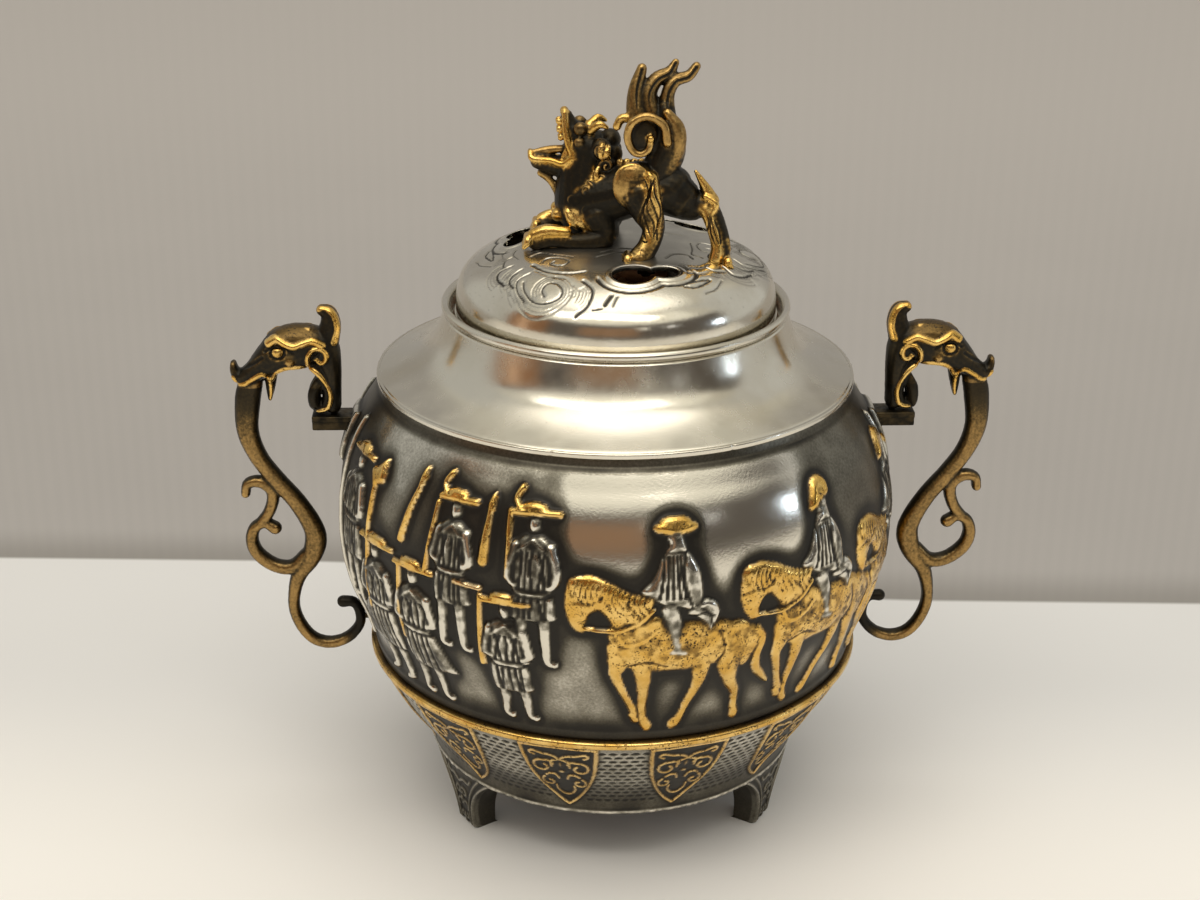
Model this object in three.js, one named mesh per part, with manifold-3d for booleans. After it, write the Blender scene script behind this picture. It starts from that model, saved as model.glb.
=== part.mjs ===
// Tripod incense burner: a round-bellied bowl on three feet with two beast-head handles,
// a flared silver collar, a hanging ash liner and a pierced dome lid with a lion finial.
// Millimetres, +Z up, front towards -Y, origin on the floor under the axis of the bowl.
import * as THREE from "three";
import { mergeVertices } from "three/addons/utils/BufferGeometryUtils.js";
import Module from "manifold-3d";

const wasm = await Module();
wasm.setup();

// General
const ROUND_STEPS = 32;
const PIN_STEPS = 12;
const CROWN_STEPS = 6;
const GAP = 0.3;

// Feet
const FOOT_COUNT = 3;
const FOOT_HEIGHT = 20.5;
const FOOT_TIP_HALF_WIDTH = 4.6;
const FOOT_TOP_HALF_WIDTH = 17;
const FOOT_STRAIGHT = 3;
const FOOT_FLARE_POWER = 2.2;
const FOOT_TIP_RADIUS = 50;
const FOOT_TIP_DEPTH = 7.5;
const FOOT_TOP_DEPTH = 10.5;
const FOOT_INSET = 0.5;
const FOOT_LEVELS = 6;
const FOOT_COLUMNS = 6;

// Base band, its floor and the rivets that hold the feet
const BASE_RADIUS = 54;
const BAND_HEIGHT = 29.7;
const BAND_WALL = 2;
const LEDGE_WIDTH = 14;
const LEDGE_THICKNESS = 2;
const PLATE_THICKNESS = 1.5;
const RIVET_RADIUS = 1.5;
const RIVET_DEPTH = 8;
const RIVET_HEAD_RADIUS = 3;
const RIVET_HEAD_HEIGHT = 1.2;

// Moulding at the seam of band and bowl
const BEAD_HEIGHT = 2.6;
const BEAD_PROUD = 0.6;
const BEAD_DEPTH = 2.5;

// Bowl
const SEAM_RADIUS = 69.9;
const BELLY_RADIUS = 79.2;
const BELLY_RISE = 40.2;
const BOWL_HEIGHT = 78.5;
const BOWL_WALL = 3.2;
const LIP_RADIUS = 66.3;
const LIP_HEIGHT = 1.2;
const LIP_WIDTH = 3.8;

// Procession cast on the bowl: how far its ground lies back, and the plain edges it keeps
const RELIEF_RISE = 1.6;
const RELIEF_LEDGE_RISE = 0.6;
const RELIEF_LEDGE_HEIGHT = 2.8;
const RELIEF_TOP_MARGIN = 3.6;
const RELIEF_MARKS = { belly: 79, low: 52.8, high: 131.3 };
const HAT_TO_SHOULDER = 7;

// Collar, its edge wire, its bezel in the bowl's mouth and its rim
const COLLAR_HEIGHT = 18.7;
const SHEET = 1.1;
const WIRE_HEIGHT = 1.6;
const WIRE_WIDTH = 1.1;
const BRIM_LIFT = 1.8;
const BEZEL_WALL = 1.2;
const BEZEL_DROP = 6;
const RIM_WALL = 0.9;
const RIM_HEIGHT = 2.9;
const RIM_PROUD = 0.3;
const RIM_LEDGE_DROP = 2.7;
const RIM_LEDGE_THICKNESS = 1.2;

// Lid
const LID_RADIUS = 44;
const LID_CLEARANCE = 1.3;
const LID_SIDE = 7.3;
const LID_CROWN = 13;
const LID_WALL = 1.4;
const LID_FLANGE_THICKNESS = 1.2;
const LID_FLANGE_PROUD = 0.6;
const LID_SPIGOT_WALL = 1.2;
const LID_SPIGOT_DROP = 5.5;
const LID_SPIGOT_CLEARANCE = 0.6;
const SMOKE_HOLE_COUNT = 3;
const SMOKE_HOLE_RADIUS = 27.5;
const SMOKE_HOLE_TURN = 13;
const LARGE_LOBE = { across: 5.8, along: 4.5, shift: -3.2 };
const SMALL_LOBE = { across: 4.2, along: 2.8, shift: 5.2 };

// Ash liner that hangs in the collar
const LINER_SEAT = 2;
const LINER_DEPTH = 72;
const LINER_WALL = 1.2;
const LINER_FLANGE_THICKNESS = 1.2;
const LINER_CLEARANCE = 0.6;
const LINER_FLANGE_CLEARANCE = 0.4;
const LINER_CORNER = 8;

// Handles: the drawing below is stretched between the lower stud and the bracket
const HANDLE_CLEARANCE = 1.1;
const STUD_RISE = 2.7;
const STUD_RADIUS = 0.8;
const STUD_REACH = 1.5;
const STUD_HEAD_RADIUS = 2.2;
const STUD_HEAD_HEIGHT = 1.2;
const BRACKET_DROP = 12;
const BRACKET_HEIGHT = 4.4;
const BRACKET_STEP = 1.8;
const BRACKET_STEP_IN = 0.6;
const BRACKET_HALF_WIDTH = 4;
const SCREW_RADIUS = 1.2;
const SCREW_HEAD_RADIUS = 2.6;
const SCREW_HEAD_HEIGHT = 1.7;
const SCREW_BITE = 2.4;
const SCREW_SEAT = 1.2;
const HANDLE_PIN_RADIUS = 0.9;
const HANDLE_PIN_RISE = 5;
const PIN_TO_SCREW = 0.6;
const FIT = 0.3;

// Lion finial, drawn standing on the dome's crown
const LION_HEIGHT = 49.6;
const FINIAL_STUD_RADIUS = 1.2;
const FINIAL_STUD_RISE = 5;
const FINIAL_NUT_RADIUS = 2.6;
const FINIAL_NUT_HEIGHT = 2;
const FINIAL_STUD_TAIL = 0.8;
const FINIAL_STUDS = [[-8, -1], [7, -17]];

// Heights above the floor that follow from the sizes
const bandTop = FOOT_HEIGHT + BAND_HEIGHT;
const bowlBottom = bandTop + BEAD_HEIGHT;
const lipTop = bowlBottom + BOWL_HEIGHT;
const collarTop = lipTop + COLLAR_HEIGHT;
const rimLedge = collarTop - RIM_LEDGE_DROP;
const linerTop = rimLedge + LINER_FLANGE_THICKNESS;
const lidBottom = linerTop + LID_FLANGE_THICKNESS;
const crownBottom = lidBottom + LID_SIDE;
const crownTop = crownBottom + LID_CROWN;
const ledgeTop = FOOT_HEIGHT + LEDGE_THICKNESS;
const plateTop = ledgeTop + PLATE_THICKNESS;
const studHeight = bowlBottom + STUD_RISE;
const bracketTop = lipTop - BRACKET_DROP;

// Radii that follow from the sizes
const rimInner = LID_RADIUS + LID_CLEARANCE;
const rimOuter = rimInner + RIM_WALL;
const neckRadius = rimOuter + GAP + SHEET;
const linerRadius = LID_RADIUS - LINER_SEAT;
const linerInner = linerRadius - LINER_WALL;
const mouthRadius = LIP_RADIUS - LIP_WIDTH;

// Materials
const finish = (color, roughness) =>
  new THREE.MeshStandardMaterial({ color, roughness, metalness: 1 });
const silver = finish(0xc9c3b6, 0.25);
const darkSilver = finish(0x5a564f, 0.45);
const gilt = finish(0xb98d45, 0.35);
const bronze = finish(0x8a6a35, 0.4);
const darkBronze = finish(0x463a2a, 0.5);

// Closed mesh to solid and back
function toSolid(geometry) {
  const bare = geometry.clone();
  bare.deleteAttribute("normal");
  bare.deleteAttribute("uv");
  const merged = mergeVertices(bare, 1e-3);
  const corners = merged.index.array;
  const kept = [];
  for (let i = 0; i < corners.length; i += 3) {
    const [a, b, c] = [corners[i], corners[i + 1], corners[i + 2]];
    if (a !== b && b !== c && c !== a) kept.push(a, b, c);
  }
  const vertProperties = new Float32Array(merged.attributes.position.array);
  if (signedVolume(vertProperties, kept) < 0) kept.reverse();
  return new wasm.Manifold(
    new wasm.Mesh({ numProp: 3, vertProperties, triVerts: new Uint32Array(kept) }),
  );
}

function signedVolume(points, corners) {
  const [a, b, c] = [new THREE.Vector3(), new THREE.Vector3(), new THREE.Vector3()];
  let sum = 0;
  for (let i = 0; i < corners.length; i += 3) {
    a.fromArray(points, 3 * corners[i]);
    b.fromArray(points, 3 * corners[i + 1]);
    c.fromArray(points, 3 * corners[i + 2]);
    sum += a.dot(b.cross(c)) / 6;
  }
  return sum;
}

function toGeometry(solid) {
  const mesh = solid.getMesh();
  const geometry = new THREE.BufferGeometry();
  geometry.setAttribute("position", new THREE.BufferAttribute(mesh.vertProperties, 3));
  geometry.setIndex(new THREE.BufferAttribute(mesh.triVerts, 1));
  geometry.computeVertexNormals();
  return geometry;
}

function joined(solids) {
  return solids.reduce((whole, next) => whole.add(next));
}

// Basic forms
function turned(profile, steps = ROUND_STEPS) {
  const points = profile.map(([radius, height]) => new THREE.Vector2(radius, height));
  if (profile[0][0] > 0) points.push(points[0].clone());
  return toSolid(new THREE.LatheGeometry(points, steps).rotateX(Math.PI / 2));
}

function disc(radius, bottom, top, steps = PIN_STEPS) {
  return turned([[0, bottom], [radius, bottom], [radius, top], [0, top]], steps);
}

function rod(radius, from, to, height, steps = PIN_STEPS) {
  const shape = new THREE.CylinderGeometry(radius, radius, Math.abs(to - from), steps);
  return toSolid(shape.rotateZ(Math.PI / 2).translate((from + to) / 2, 0, height));
}

function block(low, high) {
  const size = high.map((value, i) => value - low[i]);
  const middle = high.map((value, i) => (value + low[i]) / 2);
  return toSolid(new THREE.BoxGeometry(...size).translate(...middle));
}

function blob([x, y, z], [rx, ry, rz], lean = 0) {
  const ball = new THREE.SphereGeometry(1, 8, 6).scale(rx, ry, rz);
  return toSolid(ball.rotateY(lean).translate(x, y, z));
}

// Limb or bar along a smooth path through stations [x, y, z, half width, half depth].
// A bar with a flat side keeps its depth along Y.
function limb(stations, { sides = 6, steps = 2, flat = false } = {}) {
  const curve = new THREE.CatmullRomCurve3(
    stations.map(([x, y, z]) => new THREE.Vector3(x, y, z)), false, "centripetal");
  const spans = stations.length - 1;
  const rings = spans * steps + 1;
  const positions = [];
  const push = (point) => positions.push(point.x, point.y, point.z);
  let across = flat ? new THREE.Vector3(0, 1, 0) : null;
  const ends = [];
  for (let i = 0; i < rings; i++) {
    const t = i / (rings - 1);
    const station = Math.min(Math.floor(t * spans), spans - 1);
    const share = t * spans - station;
    const size = (slot) => THREE.MathUtils.lerp(
      stations[station][slot] ?? stations[station][3],
      stations[station + 1][slot] ?? stations[station + 1][3], share);
    const centre = curve.getPoint(t);
    const along = curve.getTangent(t);
    if (!across) {
      across = new THREE.Vector3(along.z, along.x, along.y);
    }
    if (!flat) across.addScaledVector(along, -across.dot(along)).normalize();
    const side = new THREE.Vector3().crossVectors(across, along).normalize();
    for (let k = 0; k < sides; k++) {
      const angle = (2 * Math.PI * (k + 0.5)) / sides;
      push(centre.clone()
        .addScaledVector(side, size(3) * Math.cos(angle))
        .addScaledVector(across, size(4) * Math.sin(angle)));
    }
    if (i === 0) ends.push(centre.clone().addScaledVector(along, -size(3) / 2));
    if (i === rings - 1) ends.push(centre.clone().addScaledVector(along, size(3) / 2));
  }
  ends.forEach(push);
  const corner = (ring, k) => ring * sides + (k % sides);
  const index = [];
  for (let k = 0; k < sides; k++) {
    for (let ring = 0; ring < rings - 1; ring++) {
      index.push(corner(ring, k), corner(ring + 1, k), corner(ring, k + 1));
      index.push(corner(ring, k + 1), corner(ring + 1, k), corner(ring + 1, k + 1));
    }
    index.push(rings * sides, corner(0, k), corner(0, k + 1));
    index.push(rings * sides + 1, corner(rings - 1, k + 1), corner(rings - 1, k));
  }
  return closedMesh(positions, index);
}

function closedMesh(positions, index) {
  const geometry = new THREE.BufferGeometry();
  geometry.setAttribute("position", new THREE.Float32BufferAttribute(positions, 3));
  geometry.setIndex(index);
  return toSolid(geometry);
}

// Outline helpers: a profile is a list of [radius, height]
function smooth(points, steps) {
  const curve = new THREE.SplineCurve(points.map(([r, z]) => new THREE.Vector2(r, z)));
  return curve.getPoints(steps).map((point) => [point.x, point.y]);
}

function between(from, to, shares) {
  return shares.map(([radial, vertical]) => [
    THREE.MathUtils.lerp(from[0], to[0], radial),
    THREE.MathUtils.lerp(from[1], to[1], vertical),
  ]);
}

// The same outline moved square to itself, to the left of its direction when positive
function offset(points, distance) {
  return points.map((point, i) => {
    const before = points[Math.max(i - 1, 0)];
    const after = points[Math.min(i + 1, points.length - 1)];
    const run = [after[0] - before[0], after[1] - before[1]];
    const length = Math.hypot(...run);
    return [point[0] - (run[1] / length) * distance, point[1] + (run[0] / length) * distance];
  });
}

function radiusAt(profile, height) {
  for (let i = 0; i < profile.length - 1; i++) {
    const [r0, z0] = profile[i];
    const [r1, z1] = profile[i + 1];
    if (height <= Math.max(z0, z1) && height >= Math.min(z0, z1) && z0 !== z1) {
      return THREE.MathUtils.lerp(r0, r1, (height - z0) / (z1 - z0));
    }
  }
  return profile[height < profile[0][1] ? 0 : profile.length - 1][0];
}

function heightAt(profile, radius) {
  return radiusAt(profile.map(([r, z]) => [z, r]), radius);
}

// Outer lines of band, bowl and collar, each from bottom to top
const bandLine = smooth(between([BASE_RADIUS, FOOT_HEIGHT], [SEAM_RADIUS, bandTop],
  [[0, 0], [0.06, 0.15], [0.28, 0.35], [0.69, 0.69], [1, 1]]), 4);
const bowlLine = [
  ...smooth([
    ...between([SEAM_RADIUS, bowlBottom], [BELLY_RADIUS, bowlBottom + BELLY_RISE],
      [[0, 0], [0.2, 0.2], [0.61, 0.45], [0.9, 0.7], [1, 1]]),
    ...between([BELLY_RADIUS, bowlBottom + BELLY_RISE], [LIP_RADIUS, lipTop - LIP_HEIGHT],
      [[0.03, 0.22], [0.18, 0.49], [0.5, 0.76], [1, 1]]),
  ], 10),
  [LIP_RADIUS, lipTop],
];
const collarLine = smooth(between(
  [LIP_RADIUS - WIRE_WIDTH - GAP, lipTop + BRIM_LIFT], [neckRadius, collarTop],
  [[0, 0], [0.39, 0.17], [0.66, 0.38], [0.83, 0.67], [1, 1]]), 5);

// Dome lines: a straight side with a quarter ellipse above
function domeLine(shrink, grow = 0) {
  const radius = LID_RADIUS - shrink + grow;
  const crown = LID_CROWN - shrink + grow;
  const quarter = Array.from({ length: CROWN_STEPS }, (_, i) => {
    const angle = ((i + 1) * Math.PI) / (2 * CROWN_STEPS);
    return [radius * Math.cos(angle), crownBottom + crown * Math.sin(angle)];
  });
  quarter[CROWN_STEPS - 1][0] = 0;
  return [[radius, lidBottom], [radius, crownBottom], ...quarter];
}

// Bowl group
function bowlSolid() {
  const inner = offset(bowlLine.slice(0, -1), BOWL_WALL).filter(([r]) => r > mouthRadius);
  inner[0][1] = bowlBottom;
  const underLip = lipTop - LIP_HEIGHT - BOWL_WALL;
  const lower = inner.filter(([, z]) => z < underLip);
  const shell = turned([
    ...groundLine(),
    [LIP_RADIUS, lipTop],
    [mouthRadius, lipTop],
    [mouthRadius, underLip],
    ...lower.reverse(),
  ]);
  const holes = [];
  for (const side of [-1, 1]) {
    holes.push(rod(STUD_RADIUS + FIT, side * mouthRadius, side * BELLY_RADIUS, studHeight));
    holes.push(rod(SCREW_RADIUS + FIT, side * mouthRadius, side * BELLY_RADIUS, screwHeight));
  }
  return holes.reduce((whole, hole) => whole.subtract(hole), shell.add(procession()));
}

// The bowl's outer line with its ground set back between a low ledge and a plain top edge
function groundLine() {
  const ledge = RELIEF_RISE - RELIEF_LEDGE_RISE;
  const ledgeTopHeight = bowlBottom + RELIEF_LEDGE_HEIGHT;
  const plainFrom = lipTop - LIP_HEIGHT - RELIEF_TOP_MARGIN;
  const ground = offset(bowlLine.slice(0, -1), RELIEF_RISE)
    .filter(([, z]) => z > ledgeTopHeight + RELIEF_LEDGE_RISE && z < plainFrom);
  return [
    [SEAM_RADIUS - ledge, bowlBottom],
    [radiusAt(bowlLine, ledgeTopHeight) - ledge, ledgeTopHeight],
    ...ground,
    [radiusAt(bowlLine, plainFrom) - ledge, plainFrom],
    bowlLine.at(-2),
  ];
}

// Outlines on the bowl are [distance across, height], as drawn at RELIEF_MARKS
const reliefScale = BOWL_HEIGHT / (RELIEF_MARKS.high - RELIEF_MARKS.low);
const reliefLift = (drawn) => bowlBottom + (drawn - RELIEF_MARKS.low) * reliefScale;
const acrossDegrees = (degrees) => THREE.MathUtils.degToRad(degrees) * RELIEF_MARKS.belly;

// A form on the bowl: an outline swept square to the axis from inside the bowl to beyond it
function reliefForm(outline, across) {
  const shape = outline.map(([x, z]) => new THREE.Vector2(x, z));
  if (THREE.ShapeUtils.isClockWise(shape)) shape.reverse();
  const count = shape.length;
  const positions = [];
  for (const radius of [mouthRadius, 2 * BELLY_RADIUS - mouthRadius]) {
    for (const { x, y } of shape) {
      const angle = (x + across) / RELIEF_MARKS.belly;
      positions.push(radius * Math.sin(angle), -radius * Math.cos(angle), reliefLift(y));
    }
  }
  const index = [];
  for (const [a, b, c] of THREE.ShapeUtils.triangulateShape(shape, [])) {
    index.push(a, c, b, count + a, count + b, count + c);
  }
  for (let i = 0; i < count; i++) {
    const next = (i + 1) % count;
    index.push(i, next, count + i, count + i, next, count + next);
  }
  const geometry = new THREE.BufferGeometry();
  geometry.setAttribute("position", new THREE.Float32BufferAttribute(positions, 3));
  geometry.setIndex(index);
  return toSolid(geometry);
}

const HORSE_FORMS = [
  [[11.4, 96], [12.4, 103], [20, 104.4], [34, 99.4], [35, 92.6], [58, 89.5], [65, 85], [62, 76],
    [44, 76.4], [24, 79.6], [21, 92.6], [16.6, 89]],
  [[23, 81], [29, 80], [27.6, 68], [30.6, 60], [27.6, 60], [24, 70]],
  [[29.6, 80], [36, 80], [33.6, 57.4], [31, 57.4]],
  [[44, 80], [51, 80], [44, 57.2], [40.6, 57.2]],
  [[52, 80], [63, 80], [58.4, 70], [62.6, 57.4], [59.4, 57.4], [55, 70]],
];
const RIDER_FORMS = [
  [[34.6, 116], [38, 118.4], [46, 117], [43, 110.8], [47.4, 96], [51.4, 92], [44, 91], [41.6, 82],
    [38.4, 82], [37.4, 95], [31, 100.3]],
];

// Soldiers: [azimuth, hat, belt, hem, feet, half width in degrees]
const RANKS = [
  [-68.5, 119.4, 100.5, 89, 76, 4.6], [-35.4, 119.6, 100.6, 91, 78, 3.9],
  [-18.2, 119.8, 99, 91, 78, 4.3], [-57, 99.6, 81, 66.5, 57.2, 5.2],
  [-45, 98, 79.5, 66, 57.2, 4.6], [-23.4, 95.8, 77, 66.8, 57.8, 4.2],
  [114, 119.2, 100, 89.5, 77, 4.3], [224, 119.4, 100, 90.5, 78, 4.2],
  [241, 119, 100.4, 90, 77.5, 4.2], [127, 98.6, 80, 66, 57.4, 4.8],
  [217, 97.6, 79, 66.4, 57.6, 4.6], [233, 98.4, 80, 66.2, 57.4, 4.8],
  [248.5, 97.2, 79.4, 66.4, 57.6, 4.2],
];
// Riders stand at these azimuths, measured to the left end of their drawing
const RIDERS = [-20.2, 13.4, 45, 129, 165];
// Upright borders beside the handles, with a pad behind each bracket
const BORDERS = [-102, -78, 78, 102];
const BORDER_SPAN = [57, 124];
const PAD_HALF_WIDTH = 6.4;
const PAD_SPAN = [107.5, 122];

function soldierForms([, hat, belt, hem, feet, half]) {
  const width = acrossDegrees(half);
  const shoulder = hat - HAT_TO_SHOULDER;
  const at = (points) => points.map(([x, z]) => [x * width, z]);
  return [
    at([[-1, hat - 1], [-0.5, hat + 1.8], [0.5, hat + 1.8], [1, hat - 1], [0.4, shoulder],
      [1.1, shoulder - 6], [1, hem], [-1, hem], [-1.1, shoulder - 6], [-0.4, shoulder]]),
    at([[-0.8, hem + 1], [0.8, hem + 1], [0.9, feet], [-0.8, feet]]),
  ];
}

function procession() {
  const line = bowlLine.slice(0, -1);
  const buried = offset(line, (RELIEF_RISE + BOWL_WALL) / 2);
  const skin = turned([...line, ...buried.reverse()]);
  const forms = [];
  const addForms = (outlines, degrees) => outlines.forEach((outline) => {
    forms.push(reliefForm(outline, acrossDegrees(degrees)));
  });
  for (const azimuth of RIDERS) addForms([...HORSE_FORMS, ...RIDER_FORMS], azimuth);
  for (const soldier of RANKS) addForms(soldierForms(soldier), soldier[0]);
  const upright = (half, [low, high]) => [[-half, low], [half, low], [half, high], [-half, high]];
  for (const azimuth of BORDERS) addForms([upright(1, BORDER_SPAN)], azimuth);
  for (const azimuth of [-90, 90]) addForms([upright(PAD_HALF_WIDTH, PAD_SPAN)], azimuth);
  return joined(forms).intersect(skin);
}

function bowlEnvelope(clearance) {
  const line = offset(bowlLine, -clearance);
  return turned([[0, line[0][1] - clearance], ...line, [0, line.at(-1)[1] + clearance]]);
}

function beadSolid() {
  const outer = SEAM_RADIUS + BEAD_PROUD;
  const shoulder = SEAM_RADIUS - GAP;
  const inner = SEAM_RADIUS - BEAD_DEPTH;
  const step = BEAD_HEIGHT / 3;
  return turned([
    [inner, bandTop], [shoulder, bandTop], [outer, bandTop + step],
    [outer, bowlBottom - step], [shoulder, bowlBottom], [inner, bowlBottom],
  ]);
}

function bandSolid() {
  const inner = offset(bandLine, BAND_WALL).filter(([, z]) => z > ledgeTop && z < bandTop);
  const ledgeInner = BASE_RADIUS - LEDGE_WIDTH;
  const solid = turned([
    ...bandLine,
    [SEAM_RADIUS - BAND_WALL, bandTop],
    ...inner.reverse(),
    [bandInnerAtLedge, ledgeTop],
    [ledgeInner, ledgeTop],
    [ledgeInner, FOOT_HEIGHT],
  ]);
  return cutRivetHoles(solid);
}

const bandInnerAtLedge = radiusAt(offset(bandLine, BAND_WALL), ledgeTop);
const rivetCircle = BASE_RADIUS - LEDGE_WIDTH / 2;
const plateRadius = bandInnerAtLedge - GAP;

function footAngle(i) {
  return Math.PI + (i * 2 * Math.PI) / FOOT_COUNT;
}

// Places a solid drawn at the front of the axis, turned by an angle seen from above
function turnedTo(solid, angle) {
  return solid.rotate([0, 0, THREE.MathUtils.radToDeg(angle)]);
}

function cutRivetHoles(solid) {
  let whole = solid;
  for (let i = 0; i < FOOT_COUNT; i++) {
    const hole = disc(RIVET_RADIUS + FIT, FOOT_HEIGHT - 1, plateTop + 1);
    whole = whole.subtract(turnedTo(hole.translate([0, -rivetCircle, 0]), footAngle(i)));
  }
  return whole;
}

function footSolid() {
  const positions = [];
  const columns = FOOT_COLUMNS + 1;
  for (let level = 0; level <= FOOT_LEVELS; level++) {
    const height = (FOOT_HEIGHT * level) / FOOT_LEVELS;
    const flare = Math.max(height - FOOT_STRAIGHT, 0) / (FOOT_HEIGHT - FOOT_STRAIGHT);
    const share = flare ** FOOT_FLARE_POWER;
    const halfWidth = THREE.MathUtils.lerp(FOOT_TIP_HALF_WIDTH, FOOT_TOP_HALF_WIDTH, share);
    const outer = THREE.MathUtils.lerp(FOOT_TIP_RADIUS, BASE_RADIUS - FOOT_INSET,
      height / FOOT_HEIGHT);
    const depth = THREE.MathUtils.lerp(FOOT_TIP_DEPTH, FOOT_TOP_DEPTH, height / FOOT_HEIGHT);
    for (const radius of [outer, outer - depth]) {
      for (let k = 0; k < columns; k++) {
        const angle = ((2 * k) / FOOT_COLUMNS - 1) * (halfWidth / BASE_RADIUS);
        positions.push(radius * Math.sin(angle), -radius * Math.cos(angle), height);
      }
    }
  }
  const at = (level, row, k) => (level * 2 + row) * columns + k;
  const index = [];
  const quad = (a, b, c, d) => index.push(a, b, c, a, c, d);
  for (let level = 0; level < FOOT_LEVELS; level++) {
    const up = level + 1;
    for (let k = 0; k < FOOT_COLUMNS; k++) {
      quad(at(level, 0, k), at(level, 0, k + 1), at(up, 0, k + 1), at(up, 0, k));
      quad(at(level, 1, k + 1), at(level, 1, k), at(up, 1, k), at(up, 1, k + 1));
    }
    quad(at(level, 1, 0), at(level, 0, 0), at(up, 0, 0), at(up, 1, 0));
    quad(at(level, 0, FOOT_COLUMNS), at(level, 1, FOOT_COLUMNS),
      at(up, 1, FOOT_COLUMNS), at(up, 0, FOOT_COLUMNS));
  }
  for (let k = 0; k < FOOT_COLUMNS; k++) {
    quad(at(0, 0, k + 1), at(0, 0, k), at(0, 1, k), at(0, 1, k + 1));
    quad(at(FOOT_LEVELS, 0, k), at(FOOT_LEVELS, 0, k + 1),
      at(FOOT_LEVELS, 1, k + 1), at(FOOT_LEVELS, 1, k));
  }
  const hole = disc(RIVET_RADIUS + FIT, FOOT_HEIGHT - RIVET_DEPTH - GAP, FOOT_HEIGHT + 1);
  return closedMesh(positions, index).subtract(hole.translate([0, -rivetCircle, 0]));
}

function rivetSolid() {
  const head = plateTop + GAP / 3;
  return turned([
    [0, FOOT_HEIGHT - RIVET_DEPTH], [RIVET_RADIUS, FOOT_HEIGHT - RIVET_DEPTH],
    [RIVET_RADIUS, head], [RIVET_HEAD_RADIUS, head],
    [RIVET_HEAD_RADIUS * 0.8, head + RIVET_HEAD_HEIGHT * 0.8],
    [0, head + RIVET_HEAD_HEIGHT],
  ], PIN_STEPS).translate([0, -rivetCircle, 0]);
}

// Collar group
function collarSolid() {
  return turned([...collarLine, ...offset(collarLine, SHEET).reverse()]);
}

function edgeWireSolid() {
  const inner = LIP_RADIUS - WIRE_WIDTH;
  const top = lipTop + WIRE_HEIGHT;
  return turned([[inner, lipTop], [LIP_RADIUS, lipTop], [LIP_RADIUS, top], [inner, top]]);
}

function bezelSolid() {
  const outer = mouthRadius - GAP;
  const top = heightAt(offset(collarLine, SHEET), outer) - GAP;
  return turned([
    [outer - BEZEL_WALL, lipTop - BEZEL_DROP], [outer, lipTop - BEZEL_DROP],
    [outer, top], [outer - BEZEL_WALL, top],
  ]);
}

function rimSolid() {
  const bead = neckRadius + RIM_PROUD;
  const top = collarTop + RIM_HEIGHT;
  const round = RIM_HEIGHT / 4;
  return turned([
    [linerRadius + LINER_CLEARANCE, rimLedge - RIM_LEDGE_THICKNESS],
    [rimOuter, rimLedge - RIM_LEDGE_THICKNESS],
    [rimOuter, collarTop],
    [bead - round, collarTop],
    [bead, collarTop + round],
    [bead, top - round],
    [bead - round, top],
    [rimInner, top - 2 * round],
    [rimInner, rimLedge],
    [linerRadius + LINER_CLEARANCE, rimLedge],
  ]);
}

// Liner and lid
function linerSolid() {
  const bottom = linerTop - LINER_DEPTH;
  const flange = rimInner - LINER_FLANGE_CLEARANCE;
  const corner = (radius, depth) => [0.25, 0.75].map((share) => [
    radius - LINER_CORNER * (1 - Math.sin(share * Math.PI / 2)),
    bottom + depth + LINER_CORNER * (1 - Math.cos(share * Math.PI / 2)),
  ]);
  return turned([
    [0, bottom], ...corner(linerRadius, 0), [linerRadius, rimLedge], [flange, rimLedge],
    [flange, linerTop], [linerInner, linerTop],
    ...corner(linerInner, LINER_WALL).reverse(), [0, bottom + LINER_WALL],
  ]);
}

function lidFlangeSolid() {
  const spigot = linerInner - LID_SPIGOT_CLEARANCE;
  const inner = spigot - LID_SPIGOT_WALL;
  const outer = LID_RADIUS + LID_FLANGE_PROUD;
  return turned([
    [inner, linerTop - LID_SPIGOT_DROP], [spigot, linerTop - LID_SPIGOT_DROP],
    [spigot, linerTop], [outer, linerTop], [outer, lidBottom], [inner, lidBottom],
  ]);
}

function lobeCutter({ across, along, shift }) {
  const tall = new THREE.CylinderGeometry(1, 1, 3 * LID_CROWN, PIN_STEPS).rotateX(Math.PI / 2);
  return toSolid(tall.scale(across, along, 1).translate(shift, -SMOKE_HOLE_RADIUS, crownTop));
}

function smokeHoleAngle(i) {
  return THREE.MathUtils.degToRad(SMOKE_HOLE_TURN) + (i * 2 * Math.PI) / SMOKE_HOLE_COUNT;
}

function domeSolid() {
  let shell = turned([...domeLine(0), ...domeLine(LID_WALL).reverse()]);
  for (let i = 0; i < SMOKE_HOLE_COUNT; i++) {
    for (const lobe of [LARGE_LOBE, SMALL_LOBE]) {
      shell = shell.subtract(turnedTo(lobeCutter(lobe), smokeHoleAngle(i)));
    }
  }
  for (const [x, y] of FINIAL_STUDS) {
    const hole = disc(FINIAL_STUD_RADIUS + FIT, crownBottom, crownTop + 1);
    shell = shell.subtract(hole.translate([x, y, 0]));
  }
  return shell;
}

function finialStud([x, y]) {
  const low = nutBottom([x, y]) - FINIAL_STUD_TAIL;
  const high = heightAt(domeLine(0), Math.hypot(x, y)) + FINIAL_STUD_RISE;
  return disc(FINIAL_STUD_RADIUS, low, high).translate([x, y, 0]);
}

function nutBottom([x, y]) {
  const edge = Math.hypot(x, y) + FINIAL_NUT_RADIUS;
  return heightAt(domeLine(LID_WALL), edge) - GAP - FINIAL_NUT_HEIGHT;
}

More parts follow.
